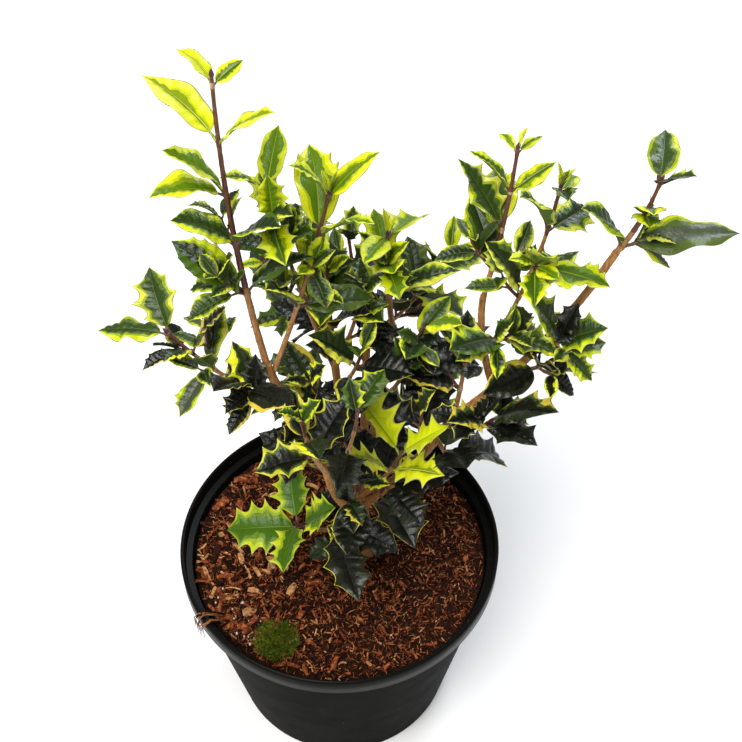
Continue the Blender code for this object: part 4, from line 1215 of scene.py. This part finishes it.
LITTER = {
    # The compost bed is near black: partly the compost's own dark colour, partly painted shade for the gaps between
    # the crumbs lying on it.
    "compost": ((0.003, 0.0012, 0.0008), (0.014, 0.0045, 0.002), (0.07, 0.022, 0.009)),
    "chip_red": ((0.03, 0.007, 0.003), (0.20, 0.048, 0.015), (0.58, 0.22, 0.08)),
    "chip_dark": ((0.005, 0.0018, 0.001), (0.024, 0.007, 0.0035), (0.10, 0.032, 0.013)),
    "chip_tan": ((0.18, 0.07, 0.025), (0.42, 0.20, 0.075), (0.72, 0.46, 0.24)),
    "fibre": ((0.12, 0.036, 0.012), (0.31, 0.12, 0.04), (0.58, 0.30, 0.13)),
    "moss": ((0.006, 0.012, 0.001), (0.06, 0.11, 0.005), (0.21, 0.30, 0.02)),
    "perlite": ((0.5, 0.48, 0.44), (0.7, 0.68, 0.64), (0.82, 0.8, 0.77)),
}


def litter_material(name, shades):
    nodes = Nodes(name, shades[1], 0.85, 0.08)
    nodes.colour(nodes.blotches((2.2, 2.2, 2.2), 5.0, 0.7), tuple(zip((0.3, 0.52, 0.74), shades)))
    nodes.bump(nodes.blotches((0.7, 0.7, 0.7)), 0.25)
    return nodes.material


def make_materials():
    materials = {name: leaf_material(name, colour) for name, colour in SHADES.items()}
    materials.update({name: stem_material(name, colour) for name, colour in STEM_SHADES.items()})
    materials.update({name: litter_material(name, shades) for name, shades in LITTER.items()})
    materials["bark"] = bark_material()
    materials["pot"] = pot_material("pot", 0.014, 0.45, 0.68)
    materials["pot_brim"] = pot_material("pot_brim", 0.06, 0.24, 0.42)
    return materials


def soil_height(x, y):
    """Height of the compost under a point, by its turned profile."""
    radius = math.hypot(x, y)
    if radius < SOIL_SHOULDER_RADIUS:
        share = max(0.0, (radius - SOIL_FLAT_RADIUS) / (SOIL_SHOULDER_RADIUS - SOIL_FLAT_RADIUS))
        return SOIL_TOP + (SOIL_SHOULDER - SOIL_TOP) * share
    share = (radius - SOIL_SHOULDER_RADIUS) / (LEDGE_RADIUS - SOIL_SHOULDER_RADIUS)
    return SOIL_SHOULDER + (SOIL_EDGE - SOIL_SHOULDER) * share


SOIL_BRIM = LEDGE_SLOPE_RADIUS - 1.0


def compost_bed(skin):
    """The compost's uneven crumbly top, and its side down along the wall to the pot's floor."""
    rows = 74
    steps = 220
    points = []
    for row in range(rows + 1):
        for step in range(steps):
            angle = 2 * math.pi * step / steps
            place = Vector((math.cos(angle), math.sin(angle), 0.0)) * (SOIL_BRIM * row / rows)
            lumps = noise.noise(place * 0.09) * 1.3 + noise.noise(place * 0.33) * 0.9
            crumbs = noise.noise(place * 1.1) * 0.55
            points.append(place + UP * (soil_height(place.x, place.y) + lumps + crumbs - 0.4))
    for step in range(steps):
        angle = 2 * math.pi * step / steps
        points.append(pointing(math.degrees(angle), 0.0) * (INSIDE_FOOT_RADIUS - GAP) + UP * (FLOOR + GAP))
    faces = []
    for row in range(rows + 1):
        for step in range(steps):
            after = (step + 1) % steps
            here = row * steps
            faces.append((here + step, here + steps + step, here + steps + after, here + after))
    faces.append(tuple(reversed(range((rows + 1) * steps, (rows + 2) * steps))))
    # The bed's near-black shade is partly painted shade, seen in the gaps between the crumbs.
    skin.add_plain(points, faces, "compost")


def flake_at(skin, chance, place, long, wide, thick, rows, shade):
    """A torn flake of bark: a bent, tapered slab with uneven edges, lying any way up."""
    bend = chance.uniform(-0.14, 0.22) * long
    turn = Matrix.Rotation(chance.uniform(0, 2 * math.pi), 3, "Z")
    lean = Matrix.Rotation(chance.gauss(0, 0.5), 3, "Y") @ Matrix.Rotation(chance.gauss(0, 0.6), 3, "X")
    points = []
    for row in range(rows + 1):
        share = row / rows
        half = wide * (0.3 + 0.2 * math.sin(math.pi * (0.15 + 0.7 * share))) * chance.uniform(0.6, 1.1)
        along = long * (share - 0.5) * chance.uniform(0.92, 1.08)
        arch = bend * (1 - (2 * share - 1) ** 2)
        for aside, rise in ((-half, 0.0), (half, 0.0), (half * 0.8, thick), (-half * 0.75, thick * 1.1)):
            points.append(place + turn @ (lean @ Vector((along, aside, rise + arch))))
    faces = [(3, 2, 1, 0), tuple(rows * 4 + corner for corner in range(4))]
    for row in range(rows):
        for corner in range(4):
            after = (corner + 1) % 4
            faces.append((row * 4 + corner, row * 4 + after, row * 4 + 4 + after, row * 4 + 4 + corner))
    skin.add_plain(points, faces, shade)


def strand_at(skin, chance, x, y, long, radius, lift, shade):
    """A thin curved fibre lying on the compost."""
    heading = chance.uniform(0, 2 * math.pi)
    swing = chance.uniform(-0.5, 0.5)
    steps = 2 if long < 8.0 else 8
    tilt = chance.uniform(-0.4, 0.6) if steps == 2 else 0.0
    centres = []
    for step in range(steps + 1):
        angle = heading + swing * step / steps
        rise = lift + tilt * step + math.sin(math.pi * step / steps) * chance.uniform(0.1, 0.6)
        centres.append(Vector((x, y, soil_height(x, y) + rise)))
        x += math.cos(angle) * long / steps
        y += math.sin(angle) * long / steps
    if math.hypot(x, y) < SOIL_BRIM - 1.0:
        skin.add_plain(*tube(centres, [radius * (1 - 0.35 * step / steps) for step in range(steps + 1)], 3), shade)


def scatter(chance, reach):
    """A place on the compost, even over its area and clear of the trunk and the moss."""
    while True:
        radius = reach * math.sqrt(chance.random())
        angle = chance.uniform(0, 2 * math.pi)
        x = radius * math.cos(angle)
        y = radius * math.sin(angle)
        clear = math.hypot(x - TRUNK_FOOT.x, y - TRUNK_FOOT.y) > TRUNK_FOOT_RADIUS + FLARE
        if clear and math.hypot(x - MOSS_PLACE[0], y - MOSS_PLACE[1]) > MOSS_RADIUS * 1.1:
            return x, y


def litter(skins):
    """Shreds of bark and coir all over, thumbnail flakes towards the left, and some perlite at the left edge."""
    chance = random.Random("compost litter")
    for _ in range(7600):
        x, y = scatter(chance, SOIL_BRIM - 1.5)
        long = chance.uniform(1.2, 4.2)
        shade = chance.choices(("chip_red", "chip_dark", "chip_tan"), (4, 5, 0.7))[0]
        place = Vector((x, y, soil_height(x, y) + chance.uniform(-0.2, 1.8)))
        flake_at(skins["bark_crumbs"], chance, place, long, long * chance.uniform(0.16, 0.42), 0.35, 1, shade)
    for _ in range(900):
        x, y = scatter(chance, SOIL_BRIM - 3.0)
        left = 0.5 - 0.5 * x / SOIL_BRIM
        if chance.random() > left**2.2 + 0.12:
            continue
        long = chance.uniform(3.5, 5.0 + 8.0 * left)
        shade = chance.choices(("chip_red", "chip_dark", "chip_tan"), (5, 2, 0.6 + left))[0]
        place = Vector((x, y, soil_height(x, y) + chance.uniform(0.4, 1.8)))
        thick = chance.uniform(0.4, 1.0)
        flake_at(skins["bark_chips"], chance, place, long, long * chance.uniform(0.22, 0.5), thick, 3, shade)
    for _ in range(1700):
        x, y = scatter(chance, SOIL_BRIM - 2.0)
        long = chance.uniform(1.6, 5.0) if chance.random() < 0.99 else chance.uniform(12.0, 30.0)
        shade = chance.choices(("fibre", "chip_red", "chip_tan"), (3, 5, 1.0))[0]
        strand_at(skins["fibres"], chance, x, y, long, chance.uniform(0.09, 0.24), chance.uniform(0.5, 1.6), shade)
    for _ in range(26):
        angle = chance.gauss(218, 16)
        place = pointing(angle, 0.0) * chance.uniform(64, 82)
        size = chance.uniform(0.5, 1.2)
        centre = place + UP * (soil_height(place.x, place.y) + 0.8)
        vertices, faces = tube([centre, centre + UP * size], [size * 0.7, size * 0.6], 6, True)
        skins["bark_crumbs"].add_plain(vertices, faces, "perlite")


def hanging_roots(skin):
    """A few fine roots that have grown out over the brim at the front left and hang down outside it."""
    chance = random.Random("roots")
    for number in range(9):
        bearing = 216.0 + chance.uniform(-2.5, 2.5)
        reach = chance.uniform(4.0, 14.0)
        path = ((SOIL_BRIM - 8.0, SOIL_EDGE + 1.0), (LIP_RADIUS - 4.0, POT_HEIGHT + 0.2), (LIP_RADIUS, POT_HEIGHT + 0.8),
                (LIP_RADIUS + 2.0, POT_HEIGHT - 2.0), (LIP_RADIUS + 2.6, POT_HEIGHT - reach))
        centres = []
        for radius, height in path:
            bearing += chance.uniform(-1.4, 1.4)
            centres.append(pointing(bearing, 0.0) * (radius + 0.1 * number) + UP * (height + 0.1 * number))
        skin.add_plain(*tube(centres, [0.5, 0.45, 0.4, 0.3, 0.15], 5), "chip_dark" if number % 2 else "fibre")


def moss_tuft(skin):
    """A cushion of short upright blades over a low dome."""
    chance = random.Random("moss")
    middle = Vector((*MOSS_PLACE, soil_height(*MOSS_PLACE) - 0.6))
    wide = MOSS_RADIUS * 1.12
    dome = [(0.0, -1.0), (wide * 0.9, -1.0), (wide * 0.95, 0.8), (wide * 0.6, MOSS_HEIGHT * 0.7), (0.0, MOSS_HEIGHT)]
    vertices, faces = turned(dome, 30)
    skin.add_plain([middle + vertex for vertex in vertices], faces, "moss")
    for _ in range(2800):
        radius = wide * math.sqrt(chance.random()) * 0.98
        out = pointing(chance.uniform(0, 360), 0.0)
        swell = math.sqrt(max(0.05, 1 - (radius / wide) ** 2))
        base = middle + out * radius + UP * (MOSS_HEIGHT * 0.8 * swell - 0.4)
        stray = Vector((chance.gauss(0, 0.35), chance.gauss(0, 0.35), 1.2))
        way = (stray + out * radius / wide).normalized()
        high = chance.uniform(1.8, 4.8)
        shade = "moss" if chance.random() < 0.85 else "fibre"
        skin.add_plain(*tube([base, base + way * high], [0.24, 0.06], 3), shade)


def fine_pot(skins, materials):
    """The pot's own profile turned finely, with its drain holes cut through the floor."""
    skin = skins["pot_shell"]
    points, faces = pot_solid(144)
    skin.add_plain(points, faces, "pot")
    for number, face in enumerate(faces):
        if min(points[corner].z for corner in face) >= BAND_FOOT:
            skin.shades[number] = "pot_brim"
    shell = skin.build(materials)
    plugs = Skin("plugs")
    for hole in range(DRAIN_HOLES):
        place = pointing(360.0 * hole / DRAIN_HOLES, 0.0) * DRAIN_RING
        plugs.add_plain(*tube([place - UP * FLOOR, place + UP * FLOOR * 2], [DRAIN_RADIUS] * 2, 24), "pot")
    cutter = plugs.build(materials)
    modifier = shell.modifiers.new("holes", "BOOLEAN")
    modifier.operation = "DIFFERENCE"
    modifier.object = cutter
    bpy.context.view_layer.update()
    shell.data = bpy.data.meshes.new_from_object(shell.evaluated_get(bpy.context.evaluated_depsgraph_get()))
    shell.modifiers.clear()
    bpy.data.objects.remove(cutter)
    shell.data.shade_smooth()
    shell.data.set_sharp_from_angle(angle=math.radians(40))
    return shell


def sprout(skin, twigs):
    """A small seedling beside the trunk, its stem no thicker than a match."""
    chance = random.Random("sprout")
    foot = Vector((TRUNK_FOOT.x + 10.0, TRUNK_FOOT.y - 3.0, SOIL_TOP - 1.0))
    head = foot + Vector((1.0, -1.5, 12.0))
    twigs.add_plain(*stem_tube(Twig(bowed(foot, head, 1.0), 0.5, 0.35), 6, 3.0), "leaf_spring")
    for number in range(6):
        chord = pointing(60 * number + chance.uniform(-15, 15), chance.uniform(5, 40))
        node = foot.lerp(head, 0.55 + 0.45 * number / 6)
        face = (UP - chord * chord.z).normalized()
        leaf = Leaf(f"sprout {number}", node, chord, face, chance.uniform(6, 9), 1.9, 0, 0.5, 0.2)
        fine_leaf(skin, leaf, "fresh")


PIECES = {
    "leaves_left_tall": ("left_leader", "left_second", "left_thin", "left_side"),
    "leaves_left_low": ("left_fork", "rosette", "front_left", "skirt_front", "skirt_left", "inner_left"),
    "leaves_middle_tall": ("middle_top", "middle_side", "centre_top", "centre_side"),
    "leaves_middle_low": ("front_right", "lime", "skirt_middle", "inner_middle", "inner_centre", "inner_right"),
    "leaves_right_low": ("right_inner", "right_front", "right_hang", "skirt_right", "right_branch", "right_middle"),
    "leaves_right_tall": ("far_right_top", "far_right_side", "upper_right_top", "upper_right_side"),
    "leaves_back_left": ("back_left", "back_middle", "back_low_left"),
    "leaves_back_right": ("back_right", "back_low_right"),
}
SLOTS = {
    "trunk_and_boughs": "bark",
    "twigs": "bark",
    "bark_crumbs": "compost",
    "bark_chips": "compost",
    "fibres": "compost",
    "compost_bed": "compost",
    "moss": "moss",
    "pot_shell": "pot",
}
STANDS_FOR = {
    "trunk_and_boughs": ("trunk", *BOUGHS),
    "compost_bed": ("compost",),
    "moss": ("moss_tuft",),
    "pot_shell": ("pot",),
    **{piece: tuple(f"foliage_{name}" for name in names) for piece, names in PIECES.items()},
}


def tip_leaves(skin, name, tip):
    """Two or three narrow young leaves that still stand upright round a shoot's bud."""
    chance = random.Random(name + " tip")
    for number in range(UPRIGHT_TIPS[name]):
        chord = pointing(150 * number + chance.uniform(-20, 20), chance.uniform(62, 80))
        face = (UP - chord * chord.z).normalized()
        leaf = Leaf(f"{name} tip {number}", tip, chord, face, chance.uniform(11, 16), 2.1, 0, 0.1, 0.5)
        fine_leaf(skin, leaf, "lime")


def dress(skins, limbs, masses):
    """Gathers the fine leaves, stalks, stems, buds and bark."""
    twigs = skins["twigs"]
    for piece, names in PIECES.items():
        for name in names:
            shoot = SHOOTS[name]
            mass = masses[name]
            heading = heading_at(mass.stem.curve, 1.0)
            for leaf in mass.leaves:
                tone = tone_for(name, leaf.name)
                fine_leaf(skins[piece], leaf, tone)
                twigs.add_plain(*stalk(leaf), "stalk_lime" if tone in ("lemon", "lime") else "stalk_brown")
                if leaf.length > SMALL_BLADE:
                    way = (leaf.chord + heading).normalized()
                    bud(twigs, leaf.base + way * 1.6, way, 1.0, "bud_purple")
            knots = [pair_share(shoot, level) for level in range(shoot.pairs)]
            if name in UPRIGHT_TIPS:
                tip_leaves(skins[piece], name, mass.stem.curve.tip)
            turn = 0.3 if name in YOUNG_SHOOTS else 0.75
            fine_stem(twigs, mass.stem, knots, 12, "stem_old", "stem_young", turn)
            bud(twigs, mass.stem.curve.tip, heading, 2.2, "bud_purple")
            for twig in mass.twigs:
                fine_stem(twigs, twig, (0.55, 0.97), 8, "stem_young", "stem_young", 0.0)
                bud(twigs, twig.curve.tip, heading_at(twig.curve, 1.0), 1.3, "bud_purple")
    flowers = masses["far_right_top"].stem.curve.tip
    for number in range(7):
        way = pointing(51 * number, 35 + 9 * (number % 4))
        bud(twigs, flowers + way * 1.5, way, 1.5 + 0.1 * number, "stalk_brown")
    for name, limb in limbs.items():
        bark_relief(skins["trunk_and_boughs"], name, limb)


def add_floor():
    mesh = bpy.data.meshes.new("floor")
    size = 3.0
    mesh.from_pydata([(-size, -size, 0), (size, -size, 0), (size, size, 0), (-size, size, 0)], [], [(0, 1, 2, 3)])
    floor = bpy.data.objects.new("floor", mesh)
    bpy.context.scene.collection.objects.link(floor)
    mesh.materials.append(Nodes("floor", (0.9, 0.9, 0.9), 0.9, 0.2).material)


def add_camera():
    camera = bpy.data.cameras.new("camera")
    camera.sensor_width = 36.0
    camera.lens = 56.8
    camera.clip_start = 0.01
    thing = bpy.data.objects.new("camera", camera)
    thing.location = (0.0183, -0.3944, 0.7269)
    thing.rotation_euler = (math.radians(42.0), math.radians(-0.16), math.radians(0.18))
    bpy.context.scene.collection.objects.link(thing)
    bpy.context.scene.camera = thing


def add_light(name, place, size, power, colour):
    light = bpy.data.lights.new(name, "AREA")
    light.size = size
    light.energy = power
    light.color = colour
    thing = bpy.data.objects.new(name, light)
    thing.location = place
    thing.rotation_euler = (Vector((0.0, 0.0, 0.25)) - Vector(place)).to_track_quat("-Z", "Y").to_euler()
    bpy.context.scene.collection.objects.link(thing)


def add_studio():
    """A white floor under a wide bluish sky light behind, a warmer key at the left, and a low even fill."""
    add_floor()
    add_camera()
    add_light("sky", (0.5, 1.0, 1.2), 0.7, 14.0, (0.88, 0.94, 1.0))
    add_light("key", (-0.45, -0.7, 1.6), 1.0, 34.0, (1.0, 0.99, 0.96))
    world = bpy.data.worlds.new("studio")
    world.use_nodes = True
    world.node_tree.nodes["Background"].inputs["Color"].default_value = (1.0, 1.0, 1.0, 1.0)
    world.node_tree.nodes["Background"].inputs["Strength"].default_value = 0.42
    bpy.context.scene.world = world
    bpy.context.scene.view_settings.view_transform = "Standard"


def main():
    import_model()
    add_studio()
    ground = [tree_of(pot_solid()), tree_of(soil_solid()), tree_of(moss_solid())]
    limbs, masses = grow_plant(ground)
    grow_finer(limbs, masses, ground)
    materials = make_materials()
    skins = {name: Skin(name) for name in (*PIECES, *SLOTS)}
    dress(skins, limbs, masses)
    sprout(skins["leaves_right_low"], skins["twigs"])
    compost_bed(skins["compost_bed"])
    litter(skins)
    hanging_roots(skins["fibres"])
    moss_tuft(skins["moss"])
    pieces = {"pot_shell": fine_pot(skins, materials)}
    for name, skin in skins.items():
        if name not in pieces:
            pieces[name] = skin.build(materials, name not in ("bark_crumbs", "bark_chips"))
    for name, piece in pieces.items():
        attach(piece, "root")
        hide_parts(*STANDS_FOR.get(name, ()))
        print(name, sum(len(face.vertices) - 2 for face in piece.data.polygons), "triangles")


main()
